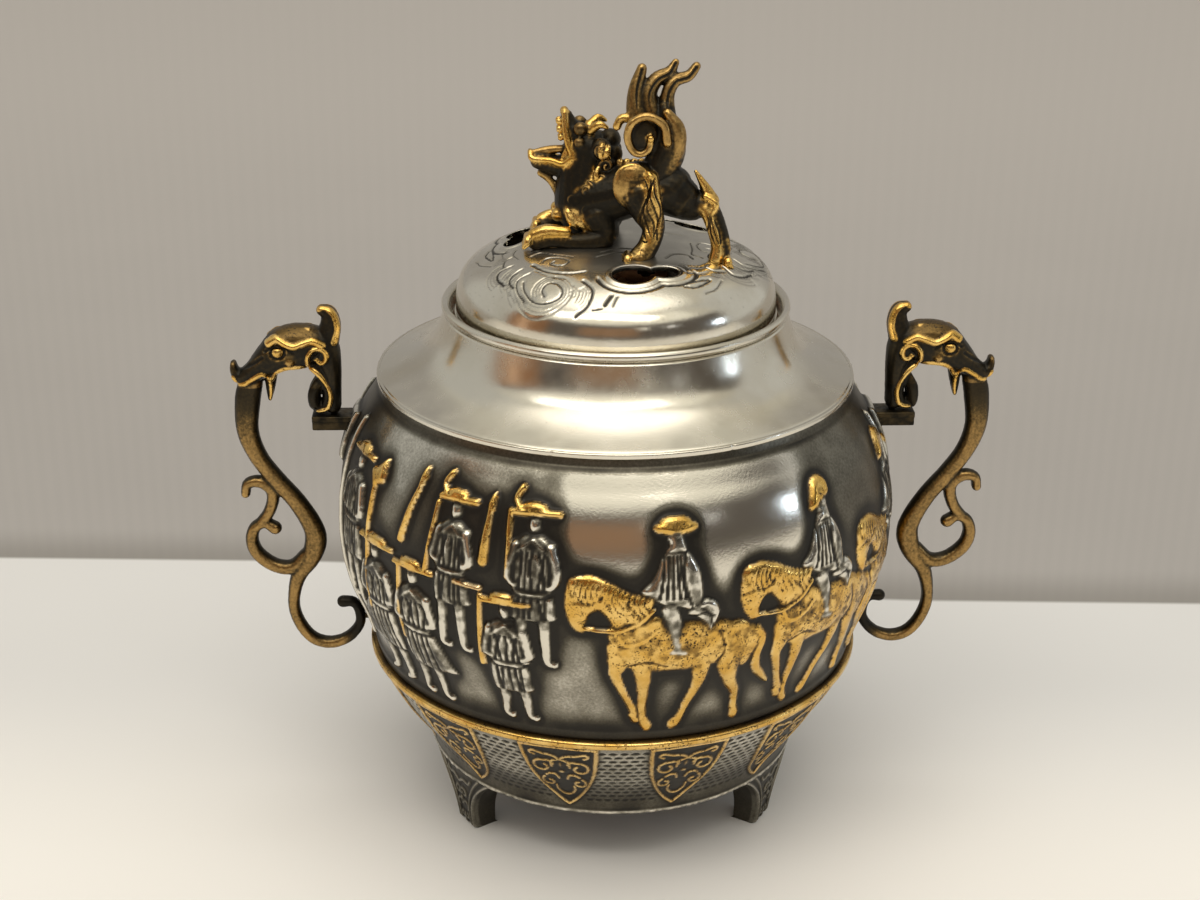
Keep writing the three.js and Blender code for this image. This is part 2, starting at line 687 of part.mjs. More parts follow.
function finialNut([x, y]) {
  const bottom = nutBottom([x, y]);
  const body = disc(FINIAL_NUT_RADIUS, bottom, bottom + FINIAL_NUT_HEIGHT, 6);
  const bore = disc(FINIAL_STUD_RADIUS + FIT, bottom - 1, bottom + FINIAL_NUT_HEIGHT + 1);
  return body.subtract(bore).translate([x, y, 0]);
}

// Handle drawing on the +X side: [distance from the axis, height, half width, half depth].
// The marks say where the lower stud, the bracket and the pin meet the drawing.
const HANDLE_MARKS = {
  studReach: 72.1, studHeight: 55.5, bracketOuter: 84.4, bracketTop: 119.3, pin: 78.3,
};
const HANDLE_STROKES = {
  bar: [
    [101, 128.5, 2.8, 2.8], [102.4, 123, 3.1, 2.9], [103, 113, 2.6, 2.7], [100.1, 106, 2.3, 2.6],
    [95.4, 99, 2.4, 2.6], [90, 92, 2.6, 2.7], [86, 84.5, 2.9, 2.8], [85.3, 79.5, 3.2, 2.8],
    [87, 74.5, 2.9, 2.7], [90.6, 69, 2.3, 2.5], [92.3, 62.5, 1.8, 2.3], [92.2, 57, 1.7, 2.2],
    [90, 51.6, 1.7, 2.2], [86.6, 48, 1.7, 2.2], [81.8, 47, 1.7, 2.1], [76.9, 48.9, 1.6, 2],
    [73.7, 53, 1.5, 2], [73.6, 57.2, 1.5, 1.9], [75.3, 60, 1.4, 1.8], [78.4, 60.2, 1.7, 1.9],
  ],
  lowerScroll: [
    [87.6, 75.4, 2.4, 2.4], [92.3, 71.6, 2.1, 2.4], [97.4, 72.2, 2, 2.3], [101.9, 75.9, 2, 2.3],
    [103.4, 80.2, 1.9, 2.2], [102.3, 84.2, 1.7, 2.1], [99.4, 85.6, 1.5, 2],
    [96.6, 83.9, 1.9, 2.1],
  ],
  upperScroll: [
    [104.4, 94.8, 1.4, 1.9], [103.6, 97.8, 1.5, 2], [100.2, 98.4, 1.8, 2.1],
    [97.2, 96.3, 1.9, 2.1], [96.8, 92.8, 1.8, 2.1], [98.3, 88.6, 1.7, 2.1],
    [100.8, 85.4, 1.6, 2],
  ],
  neck: [
    [78.4, 121.4, 2.2, 3.4], [78, 127, 2, 3.6], [78.5, 133, 2.8, 4], [80.6, 138.5, 4.6, 4.6],
    [85.5, 139.3, 5.9, 5.4], [91, 138.4, 6, 5.4], [95.6, 135.4, 4.4, 4.8],
    [100, 131.8, 2.9, 3.8], [104, 129.9, 1.8, 3], [106.2, 131.4, 1.2, 2.2],
  ],
  crest: [[79, 143, 3, 3.6], [77.6, 147, 2, 2.8], [78.3, 149.6, 1, 2]],
  fang: [[95.3, 131, 1.9, 2.6], [95.6, 127, 1.3, 2], [95.7, 123.6, 0.6, 1.2]],
  beard: [[79.4, 123.4, 1.8, 2.6], [81.9, 122.6, 1.4, 2.4], [83.2, 125.3, 1.3, 2.3],
    [81.6, 128.6, 1.4, 2.4]],
};

const handleScale = (bracketTop - studHeight)
  / (HANDLE_MARKS.bracketTop - HANDLE_MARKS.studHeight);
const handleLift = (drawn) => studHeight + (drawn - HANDLE_MARKS.studHeight) * handleScale;
const screwHeight = bracketTop - BRACKET_HEIGHT / 2;
const screwTip = radiusAt(bowlLine, screwHeight) + SCREW_BITE;

// The handle stands off the bowl, and its pin beyond the tip of the bracket's screw
const handleShift = Math.max(
  screwTip + PIN_TO_SCREW + HANDLE_PIN_RADIUS - HANDLE_MARKS.pin * handleScale,
  ...HANDLE_STROKES.bar.concat(HANDLE_STROKES.neck).map(([x, z, half]) => {
    const heights = [-half, 0, half].map((part) => handleLift(z + part));
    const reach = Math.max(...heights.map((height) => radiusAt(bowlLine, height)));
    return reach + HANDLE_CLEARANCE - (x - half) * handleScale;
  }),
);
const handleX = (drawn) => drawn * handleScale + handleShift;
const bracketOuter = handleX(HANDLE_MARKS.bracketOuter);
const handlePinX = handleX(HANDLE_MARKS.pin);

function handleSolid() {
  const strokes = Object.values(HANDLE_STROKES).map((stations) => limb(
    stations.map(([x, z, half, depth]) => [
      handleX(x), 0, handleLift(z), half * handleScale, depth * handleScale,
    ]),
    { flat: true }));
  const pinHole = disc(HANDLE_PIN_RADIUS + FIT, bracketTop - 1,
    bracketTop + HANDLE_PIN_RISE + GAP).translate([handlePinX, 0, 0]);
  const studHole = rod(STUD_RADIUS + FIT, 0, studTip + GAP, studHeight);
  return joined(strokes).subtract(pinHole).subtract(studHole).subtract(bracketBlocks(GAP));
}

const studTip = handleX(HANDLE_MARKS.studReach) + STUD_REACH;

function bracketBlocks(grow) {
  const low = bracketTop - BRACKET_HEIGHT;
  const upper = block([0, -BRACKET_HALF_WIDTH - grow, bracketTop - BRACKET_STEP - grow],
    [bracketOuter + grow, BRACKET_HALF_WIDTH + grow, bracketTop + grow]);
  const lowerHalf = BRACKET_HALF_WIDTH - BRACKET_STEP_IN + grow;
  const lower = block([0, -lowerHalf, low - grow],
    [bracketOuter - BRACKET_STEP_IN + grow, lowerHalf, bracketTop]);
  return upper.add(lower);
}

function bracketSolid() {
  const pinHole = disc(HANDLE_PIN_RADIUS + FIT, 0, bracketTop + 1);
  const screwHole = rod(SCREW_RADIUS + FIT, 0, screwTip + GAP, screwHeight);
  return bracketBlocks(0).subtract(bowlEnvelope(GAP)).subtract(screwHole)
    .subtract(pinHole.translate([handlePinX, 0, 0]));
}

function bracketScrew() {
  const inside = radiusAt(bowlLine, bracketTop + SCREW_HEAD_RADIUS) - BOWL_WALL - SCREW_SEAT;
  const shaft = rod(SCREW_RADIUS, inside - SCREW_HEAD_HEIGHT / 2, screwTip, screwHeight);
  const head = rod(SCREW_HEAD_RADIUS, inside - SCREW_HEAD_HEIGHT, inside, screwHeight);
  return shaft.add(head);
}

function handlePin() {
  return disc(HANDLE_PIN_RADIUS, bracketTop - BRACKET_HEIGHT, bracketTop + HANDLE_PIN_RISE)
    .translate([handlePinX, 0, 0]);
}

function handleStud() {
  const inside = radiusAt(bowlLine, studHeight - STUD_HEAD_RADIUS) - BOWL_WALL - 2 * GAP;
  const shaft = rod(STUD_RADIUS, inside - STUD_HEAD_HEIGHT / 2, studTip, studHeight);
  const head = rod(STUD_HEAD_RADIUS, inside - STUD_HEAD_HEIGHT, inside, studHeight);
  return shaft.add(head);
}

// Lion drawing above the crown of the dome: [x, y, height, radius]
const LION_LIMBS = {
  torso: [[-9, 0, 10, 8], [-2, -3, 12, 7.4], [6, -5, 14.5, 7], [13, -7, 15, 7.4],
    [16, -8, 14.5, 6.4]],
  neck: [[-9, 0, 10, 8], [-9.5, 0.5, 17, 6.6], [-8.5, 1, 23.5, 6]],
  lowerJaw: [[-9.5, 1, 20, 4.2], [-15.5, 0.6, 19.3, 3], [-21.5, 0, 20.8, 2.3]],
  upperJaw: [[-9, 1, 25.5, 4.4], [-12.5, 0.8, 29.5, 3.2], [-13.6, 0.6, 33, 1.7]],
  leftForeleg: [[-5, -5.4, 7, 5.6], [-3.6, -7.8, 2.6, 3.6], [-11, -8, 1.8, 3], [-17, -7.6, 1.6, 2.7],
    [-22, -7, 0.6, 3.4]],
  rightForeleg: [[-4, 5, 7, 5.6], [-1.6, 7.8, 2.6, 3.6], [-9, 9, 1.8, 3], [-15, 8.6, 1.6, 2.7],
    [-19.5, 8, 0.8, 3.3]],
  leftHindLeg: [[5, -11.6, 15, 5], [7.4, -13.4, 10.5, 4.2],
    [9, -14.2, 6, 3], [7.6, -15.6, 1.6, 2.8], [6, -17.2, -2, 3.4]],
  rightHindLeg: [[13, -7, 15, 7.2], [19, -8, 12.5, 5.4], [24, -9.6, 11.5, 3.4],
    [26.4, -10.8, 5.5, 2.8], [27.4, -11.8, 0.6, 2.7], [27.6, -12.6, -4.6, 3.6]],
  hockFlame: [[24, -9.6, 12.5, 1.6], [22.4, -9.6, 16.5, 1.1], [20.6, -9.4, 19.6, 0.5]],
  tailRoot: [[10, -8, 19, 4.6], [13, -8, 26, 4.8], [12.4, -8, 33, 3.8], [12, -7.4, 37, 2.6]],
  tailLeftFlame: [[9, -7.6, 27, 2.8], [5, -7, 34, 2.2], [4.6, -6, 41, 1.7], [6, -5, 47, 1]],
  tailMiddleFlame: [[10, -7.4, 33, 2.2], [7.6, -6, 41, 1.9], [11.2, -5, 45, 1.6],
    [14.6, -4, 48.6, 1]],
  tailRightFlame: [[12.2, -7.4, 34, 2.2], [12.8, -6.2, 41, 1.6], [16, -5, 44.6, 1.5],
    [20.6, -4, 47.6, 1.1]],
  tailCurl: [[12, -9, 24, 3], [10.6, -11, 33.6, 1.9], [6, -12, 35.8, 1.5], [1.6, -12, 31, 1.4],
    [4.4, -12, 26.4, 1.3], [8.2, -12, 29, 1.1], [7.2, -12, 31.8, 1.1]],
  tailKnob: [[5, -8, 33.4, 1.5], [0.8, -8, 34.2, 1.3], [-0.6, -8, 32, 1.3]],
};
const LION_BLOBS = [
  { at: [-8.5, -0.5, 9], size: [8, 8, 9] },
  { at: [4.8, -11.4, 16.5], size: [5.6, 4.8, 7] },
  { at: [-8.4, 1, 24], size: [6.4, 6.2, 6] },
  { at: [-3.4, -3.6, 22.6], size: [3, 3, 3.8] },
  { at: [-3.4, 5.4, 22.6], size: [3, 3, 3.8] },
  { at: [-2, 1, 26.4], size: [3, 3.6, 3] },
];

function lionSolid() {
  const drawnTop = Math.max(...Object.values(LION_LIMBS).flat().map(([, , z, r]) => z + r));
  const scale = LION_HEIGHT / drawnTop;
  const place = ([x, y, z]) => [x * scale, y * scale, crownTop + z * scale];
  const parts = Object.values(LION_LIMBS).map((stations) => limb(
    stations.map(([x, y, z, radius]) => [...place([x, y, z]), radius * scale])));
  for (const { at, size } of LION_BLOBS) {
    parts.push(blob(place(at), size.map((value) => value * scale)));
  }
  const envelope = turned([...domeLine(0, GAP), [0, lidBottom]]);
  const studHoles = FINIAL_STUDS.map(([x, y]) => disc(FINIAL_STUD_RADIUS + FIT, crownBottom,
    heightAt(domeLine(0), Math.hypot(x, y)) + FINIAL_STUD_RISE + GAP).translate([x, y, 0]));
  return [envelope, ...studHoles].reduce((whole, cut) => whole.subtract(cut), joined(parts));
}

// The assembly
const burner = new THREE.Group();

function addPart(name, solid, material, group) {
  const mesh = new THREE.Mesh(toGeometry(solid), material);
  mesh.name = name;
  group.add(mesh);
}

function halfTurned(solid) {
  return solid.rotate([0, 0, 180]);
}

const vessel = new THREE.Group();
const lid = new THREE.Group();
burner.add(vessel, lid);

addPart("bowl", bowlSolid(), darkSilver, vessel);
addPart("seam_bead", beadSolid(), gilt, vessel);
addPart("base_band", bandSolid(), darkSilver, vessel);
addPart("base_plate", cutRivetHoles(disc(plateRadius, ledgeTop, plateTop, ROUND_STEPS)),
  darkSilver, vessel);
["back", "front_left", "front_right"].forEach((place, i) => {
  addPart(`foot_${place}`, turnedTo(footSolid(), footAngle(i)), darkSilver, vessel);
  addPart(`foot_rivet_${place}`, turnedTo(rivetSolid(), footAngle(i)), darkBronze, vessel);
});
for (const [side, place] of [["right", (solid) => solid], ["left", halfTurned]]) {
  addPart(`handle_${side}`, place(handleSolid()), bronze, vessel);
  addPart(`handle_bracket_${side}`, place(bracketSolid()), darkBronze, vessel);
  addPart(`handle_pin_${side}`, place(handlePin()), darkBronze, vessel);
  addPart(`bracket_screw_${side}`, place(bracketScrew()), darkBronze, vessel);
  addPart(`handle_stud_${side}`, place(handleStud()), darkBronze, vessel);
}
addPart("collar", collarSolid(), silver, vessel);
addPart("collar_edge_wire", edgeWireSolid(), silver, vessel);
addPart("collar_bezel", bezelSolid(), silver, vessel);
addPart("collar_rim", rimSolid(), silver, vessel);
addPart("ash_liner", linerSolid(), darkBronze, vessel);
addPart("lid_dome", domeSolid(), silver, lid);
addPart("lid_flange", lidFlangeSolid(), silver, lid);
addPart("lion_finial", lionSolid(), bronze, lid);
FINIAL_STUDS.forEach((spot, i) => {
  addPart(`finial_stud_${i + 1}`, finialStud(spot), darkBronze, lid);
  addPart(`finial_nut_${i + 1}`, finialNut(spot), darkBronze, lid);
});

export default burner;
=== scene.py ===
import math

import bpy
import numpy as np
from mathutils import Matrix, Vector
from mathutils.kdtree import KDTree


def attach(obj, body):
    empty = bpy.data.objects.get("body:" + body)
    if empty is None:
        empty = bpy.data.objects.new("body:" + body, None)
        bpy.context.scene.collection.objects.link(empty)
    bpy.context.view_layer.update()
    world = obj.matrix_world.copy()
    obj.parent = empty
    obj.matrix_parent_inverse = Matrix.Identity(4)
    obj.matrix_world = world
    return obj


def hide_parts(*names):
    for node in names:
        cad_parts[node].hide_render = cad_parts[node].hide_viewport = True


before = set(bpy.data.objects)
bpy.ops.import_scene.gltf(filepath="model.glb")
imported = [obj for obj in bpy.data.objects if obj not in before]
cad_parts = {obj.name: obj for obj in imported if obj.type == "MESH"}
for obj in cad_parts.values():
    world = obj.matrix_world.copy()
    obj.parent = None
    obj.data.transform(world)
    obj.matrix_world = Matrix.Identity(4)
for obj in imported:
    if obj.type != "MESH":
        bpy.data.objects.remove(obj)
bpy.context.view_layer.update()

# Sizes below are in millimetres, as on the drawing, and a mesh is scaled to metres once.
MM = 0.001
TURN = 2 * math.pi

# Camera: the photograph's view, from a distance before the burner and a height above the floor
IMAGE_WIDTH = 1200
FOCAL_PIXELS = 2000
SENSOR_WIDTH = 36
CAMERA_DISTANCE = 525.3
CAMERA_HEIGHT = 322.7
CAMERA_PITCH = 22.33
CAMERA_PAN = -0.44
CAMERA_ROLL = 0.45
OBJECT_TURN = 3

# The wall: how far behind the axis the paper ends at left and right, and ribs by bearing
PAPER_DEPTH = (148, 121)
RIB_COUNT = 900

# Mesh fineness: points round the bowl and the band, and gaps between points
COLUMNS = 1040
BAND_COLUMNS = 1080
CELL = 0.48
VOXEL = 0.3

# Relief: how far the ground of the bowl and band lies under the highest forms
GROUND = 1.6
BAND_GROUND = 0.7

# Outer lines of the turned pieces, from bottom to top: (radius, height)
BAND_LINE = [(54, 20.5), (54.95, 24.95), (58.45, 30.9), (64.97, 41), (69.9, 50.2)]
BOWL_LINE = [
    (69.9, 52.8), (71.76, 60.84), (75.57, 70.89), (78.27, 80.94), (79.2, 93),
    (78.81, 101.16), (76.88, 111.18), (72.75, 121.2), (66.3, 130.1),
]
LIP_TOP = 131.3
MOUTH_RADIUS = 62.5
BOWL_INNER = 3.1
MIDDLE_RADIUS = 60
LIP_RADIUS = BOWL_LINE[-1][0]

# A form's share of gold: 1 is fully gilt, 0 bare
GILT = 1

# A start for distances, above any that is measured, and a guard for a segment without length
FAR = 1e9
TINY = 1e-9


def smoothstep(value):
    value = np.clip(value, 0, 1)
    return value * value * (3 - 2 * value)


def between(value, low, high):
    """0 below low, 1 above high, with a soft step between."""
    return smoothstep((value - low) / (high - low))


def spline(points, count, closed=False):
    """A Catmull-Rom curve through the points, with count points between each two."""
    points = np.array(points, float)
    if closed:
        padded = np.vstack([points[-1], points, points[0], points[1]])
    else:
        first = 2 * points[0] - points[1]
        last = 2 * points[-1] - points[-2]
        padded = np.vstack([first, points, last])
    share = np.arange(count)[:, None] / count
    pieces = []
    for a, b, c, d in zip(padded, padded[1:], padded[2:], padded[3:]):
        pieces.append(0.5 * (2 * b + (c - a) * share + (2 * a - 5 * b + 4 * c - d) * share**2
                             + (3 * b - a - 3 * c + d) * share**3))
    curve = np.vstack(pieces)
    return curve if closed else np.vstack([curve, points[-1]])


def natural_line(points, step):
    """A smooth line through (radius, height) points, in even steps along its length."""
    points = np.array(points, float)
    along = np.concatenate([[0], np.cumsum(np.hypot(*np.diff(points, axis=0).T))])
    gaps = np.diff(along)
    size = len(points)
    left = np.eye(size)
    right = np.zeros((size, 2))
    for i in range(1, size - 1):
        left[i, i - 1:i + 2] = [gaps[i - 1], 2 * (gaps[i - 1] + gaps[i]), gaps[i]]
        slopes = np.diff(points[i - 1:i + 2], axis=0) / gaps[i - 1:i + 1, None]
        right[i] = 6 * (slopes[1] - slopes[0])
    bend = np.linalg.solve(left, right)
    places = np.linspace(0, along[-1], max(int(along[-1] / step), 2) + 1)
    at = np.clip(np.searchsorted(along, places, side="right") - 1, 0, size - 2)
    gap = gaps[at][:, None]
    after = (places - along[at])[:, None]
    before = gap - after
    return (bend[at] * before**3 + bend[at + 1] * after**3) / (6 * gap) \
        + (points[at] / gap - bend[at] * gap / 6) * before \
        + (points[at + 1] / gap - bend[at + 1] * gap / 6) * after


def square_to(line):
    """Unit vectors square to a line, pointing outwards on a line that climbs."""
    run = np.gradient(line, axis=0)
    run /= np.linalg.norm(run, axis=1)[:, None]
    return np.stack([run[:, 1], -run[:, 0]], axis=1)


def blur(field, cells, around=True):
    """A soft average over a grid. It wraps round the columns where the grid goes around."""
    pad = int(3 * cells) + 1
    weights = np.exp(-0.5 * (np.arange(-pad, pad + 1) / cells) ** 2)
    weights /= weights.sum()
    wide = np.pad(field, ((pad, pad), (0, 0)), mode="edge")
    wide = np.pad(wide, ((0, 0), (pad, pad)), mode="wrap" if around else "edge")
    size = wide.shape
    kernel = np.zeros(size)
    kernel[:2 * pad + 1, :2 * pad + 1] = np.outer(weights, weights)
    kernel = np.roll(kernel, (-pad, -pad), axis=(0, 1))
    soft = np.fft.irfft2(np.fft.rfft2(wide) * np.fft.rfft2(kernel), s=size)
    return soft[pad:-pad, pad:-pad]


def noise_field(shape, cells, seed):
    """Soft random bumps from -1 to 1, about so many cells wide."""
    field = blur(np.random.default_rng(seed).standard_normal(shape), cells)
    return field / np.abs(field).max()


def to_segment(x, z, start, end):
    """How far along a segment each place lies, from 0 to 1, and how far from it."""
    run = end[:2] - start[:2]
    share = np.clip(((x - start[0]) * run[0] + (z - start[1]) * run[1]) / (run @ run + TINY), 0, 1)
    return share, np.hypot(x - start[0] - share * run[0], z - start[1] - share * run[1])


class Relief:
    """A height map in millimetres over (distance across, height above the floor).

    gilt says how golden each spot is, and form how much of a raised form it holds."""

    def __init__(self, across, up, period=None):
        self.across = np.asarray(across, float)
        self.up = np.asarray(up, float)
        self.period = period
        shape = (len(self.up), len(self.across))
        self.height = np.zeros(shape)
        self.gilt = np.zeros(shape)
        self.form = np.zeros(shape)

    def window(self, low, high):
        middle = (low[0] + high[0]) / 2
        x = self.across - middle
        if self.period:
            x = (x + self.period / 2) % self.period - self.period / 2
        columns = np.nonzero(np.abs(x) <= (high[0] - low[0]) / 2)[0]
        rows = np.nonzero((self.up >= low[1]) & (self.up <= high[1]))[0]
        return np.ix_(rows, columns), x[columns][None, :] + middle, self.up[rows][:, None]

    def raise_to(self, spot, inside, edge, top, gilt):
        """Raises a form with rounded edges, unless something higher is there already."""
        share = np.clip(inside / edge, 0, 1)
        height = top * np.sqrt(1 - (1 - share) ** 2)
        higher = (inside > 0) & (height > self.height[spot])
        self.height[spot] = np.where(higher, height, self.height[spot])
        self.gilt[spot] = np.where(higher, gilt, self.gilt[spot])
        self.form[spot] = np.where(inside > 0, 1, self.form[spot])

    def segments(self, points, smooth):
        points = spline(points, smooth) if smooth and len(points) > 2 else np.array(points, float)
        for start, end in zip(points[:-1], points[1:]):
            reach = max(start[2], end[2])
            low = np.minimum(start[:2], end[:2]) - reach
            high = np.maximum(start[:2], end[:2]) + reach
            spot, x, z = self.window(low, high)
            share, away = to_segment(x, z, start, end)
            yield spot, start[2] + share * (end[2] - start[2]), away

    def stroke(self, points, top, gilt=0, edge=None, smooth=4):
        """A rounded bar along points (x, height, half width)."""
        for spot, half, away in self.segments(points, smooth):
            self.raise_to(spot, half - away, edge or half, top, gilt)

    def line(self, points, half, change, smooth=4):
        """Adds a fine ridge, or cuts a groove where change is negative, along (x, height)."""
        points = [(*point, half) for point in points]
        drawn = np.zeros_like(self.height)
        for spot, width, away in self.segments(points, smooth):
            bump = np.clip(1 - (away / width) ** 2, 0, 1)
            drawn[spot] = np.maximum(drawn[spot], bump)
        self.height += change * drawn

    def oval(self, at, size, top, gilt=0, edge=None):
        low = np.array(at) - size
        high = np.array(at) + size
        spot, x, z = self.window(low, high)
        away = np.hypot((x - at[0]) / size[0], (z - at[1]) / size[1])
        inside = (1 - away) * min(size)
        self.raise_to(spot, inside, edge or min(size), top, gilt)

    def plate(self, outline, top, gilt=0, edge=1.2, smooth=4):
        """A flat form with rounded edges inside a closed outline."""
        outline = spline(outline, smooth, closed=True) if smooth else np.array(outline, float)
        spot, x, z = self.window(outline.min(0), outline.max(0))
        nearest = np.full(np.broadcast(x, z).shape, FAR)
        odd = np.zeros(nearest.shape, bool)
        for start, end in zip(outline, np.roll(outline, -1, axis=0)):
            run = end - start
            nearest = np.minimum(nearest, to_segment(x, z, start, end)[1])
            crosses = (start[1] > z) != (end[1] > z)
            slope = run[0] / run[1] if run[1] else 0
            odd ^= crosses & (x < start[0] + (z - start[1]) * slope)
        self.raise_to(spot, np.where(odd, nearest, -nearest), edge, top, gilt)


def curl(at, radius, start, turns, inner=0.25, steps=10):
    """Points (x, height) of a spiral that winds in from radius to a share of it."""
    count = max(int(abs(turns) * steps), 4)
    points = []
    for i in range(count + 1):
        share = i / count
        angle = math.radians(start) + share * turns * TURN
        reach = radius * (1 - share * (1 - inner))
        points.append((at[0] + reach * math.cos(angle), at[1] + reach * math.sin(angle)))
    return points


def placed(middle, width=1):
    """A function that moves (x, ...) points to the middle of a figure, x in shares of width."""
    def at(*points):
        return [(middle + point[0] * width, *point[1:]) for point in points]
    return at


def both_sides(points, middle):
    """The same (x, ...) points on either side of the middle."""
    return [placed(middle, side)(*points) for side in (-1, 1)]


def widen(points, start, end=None):
    """Adds half widths to (x, height) points, even or tapering."""
    end = start if end is None else end
    last = len(points) - 1
    return [(*point, start + (end - start) * i / last) for i, point in enumerate(points)]


# Meshes
def make_piece(name, vertices, faces, body, node, material):
    """A smooth mesh that rides on a body and is shown instead of a CAD node."""
    mesh = bpy.data.meshes.new(name)
    mesh.from_pydata((np.asarray(vertices) * MM).tolist(), [], faces)
    mesh.validate()
    mesh.polygons.foreach_set("use_smooth", np.ones(len(mesh.polygons), bool))
    mesh.materials.append(material)
    piece = bpy.data.objects.new(name, mesh)
    bpy.context.scene.collection.objects.link(piece)
    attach(piece, body)
    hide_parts(node)
    return piece


def store(mesh, **values):
    """Keeps a value for each vertex, which the materials read by name."""
    for name, value in values.items():
        attribute = mesh.attributes.get(name) or mesh.attributes.new(name, "FLOAT", "POINT")
        attribute.data.foreach_set("value", np.asarray(value, np.float32).ravel())


def ring_faces(rows, columns, wrap_rows):
    """Quads of a grid whose columns go around, and whose rows do where wrap_rows is set."""
    row = np.arange(rows if wrap_rows else rows - 1)[:, None]
    column = np.arange(columns)[None, :]
    here = row * columns
    above = (row + 1) % rows * columns
    beside = (column + 1) % columns
    quads = np.stack([here + column, here + beside, above + beside, above + column], axis=-1)
    return quads.reshape(-1, 4).tolist()


def capped_faces(rows, columns):
    """Quads of a grid whose columns go around, with a face at each end."""
    first = list(range(columns))
    last = [(rows - 1) * columns + i for i in first]
    return ring_faces(rows, columns, False) + [first[::-1], last]


def turn_points(points, degrees):
    """The points turned about the axis of the burner."""
    return points @ np.array(Matrix.Rotation(math.radians(degrees), 3, "Z")).T


def azimuths(columns):
    return np.arange(columns) * TURN / columns - math.pi


def around_axis(radius, height, columns):
    """Points of a grid of radii and heights, azimuth 0 at the front."""
    angle = azimuths(columns)[None, :]
    radius = np.broadcast_to(radius, (len(radius), columns))
    height = np.broadcast_to(height, radius.shape)
    return np.stack([radius * np.sin(angle), -radius * np.cos(angle), height], axis=-1)


def ring_piece(name, radius, height, body, node, material):
    """A closed ring from a grid of radii, with one height for each row."""
    points = around_axis(radius, height, radius.shape[1])
    return make_piece(name, points.reshape(-1, 3), ring_faces(*radius.shape, True),
                      body, node, material)


def turned_piece(name, section, body, node, material, columns=256, wobble=0.0, seed=1):
    """A ring turned from a closed section, with a slight hand-made unevenness."""
    section = np.asarray(section, float)
    uneven = 1 + wobble * noise_field((len(section), columns), 12, seed) / MIDDLE_RADIUS
    return ring_piece(name, section[:, :1] * uneven, section[:, 1:], body, node, material)


def relief_piece(name, node, line, rise, closing, bright, gilt, hidden):
    """A turned piece with relief on its outer line, closed by plain rings of one brightness."""
    columns = rise.shape[1]
    outer = line[:, None, :] + square_to(line)[:, None, :] * rise[:, :, None]
    points = np.vstack([around_axis(outer[:, :, 0], outer[:, :, 1], columns).reshape(-1, 3),
                        around_axis(closing[:, :1], closing[:, 1:], columns).reshape(-1, 3)])
    piece = make_piece(name, points, ring_faces(len(line) + len(closing), columns, True),
                       "vessel", node, relief_metal)
    rest = len(closing) * columns
    store(piece.data, bright=np.append(np.clip(bright, 0, 1), np.full(rest, hidden)),
          gilt=np.append(np.clip(gilt, 0, 1), np.zeros(rest)))


def rounded(corners, radius, steps=4):
    """A closed section with its corners rounded. A corner (r, z, radius) has its own radius."""
    corners = [(*corner, radius)[:3] for corner in corners]
    points = []
    for i, corner in enumerate(corners):
        here = np.array(corner[:2], float)
        before = np.array(corners[i - 1][:2], float) - here
        after = np.array(corners[(i + 1) % len(corners)][:2], float) - here
        reach = min(corner[2], np.linalg.norm(before) * 0.48, np.linalg.norm(after) * 0.48)
        start = here + before / np.linalg.norm(before) * reach
        end = here + after / np.linalg.norm(after) * reach
        for k in range(steps + 1):
            share = k / steps
            points.append((1 - share) ** 2 * start + 2 * share * (1 - share) * here
                          + share**2 * end)
    return np.array(points)


# Materials
class Nodes:
    """A small helper that adds and joins nodes."""

    def __init__(self, tree):
        self.tree = tree
        tree.nodes.clear()

    def add(self, kind, inputs=None, **settings):
        node = self.tree.nodes.new(kind)
        for key, value in settings.items():
            setattr(node, key, value)
        for key, value in (inputs or {}).items():
            self.plug(node.inputs[key], value)
        return node

    def plug(self, socket, value):
        if isinstance(value, bpy.types.NodeSocket):
            self.tree.links.new(value, socket)
        else:
            socket.default_value = value

    def math(self, operation, a, b=0.0):
        return self.add("ShaderNodeMath", {0: a, 1: b}, operation=operation).outputs[0]

    def times(self, a, b):
        return self.math("MULTIPLY", a, b)

    def plus(self, a, b):
        return self.math("ADD", a, b)

    def minus(self, a, b):
        return self.math("SUBTRACT", a, b)

    def step(self, value, low, high, to_low=0.0, to_high=1.0):
        settings = {"Value": value, "From Min": low, "From Max": high,
                    "To Min": to_low, "To Max": to_high}
        return self.add("ShaderNodeMapRange", settings, interpolation_type="SMOOTHSTEP").outputs[0]

    def mix(self, share, a, b):
        node = self.add("ShaderNodeMix", data_type="RGBA")
        self.plug(node.inputs["Factor"], share)
        self.plug(node.inputs[6], a)
        self.plug(node.inputs[7], b)
        return node.outputs[2]


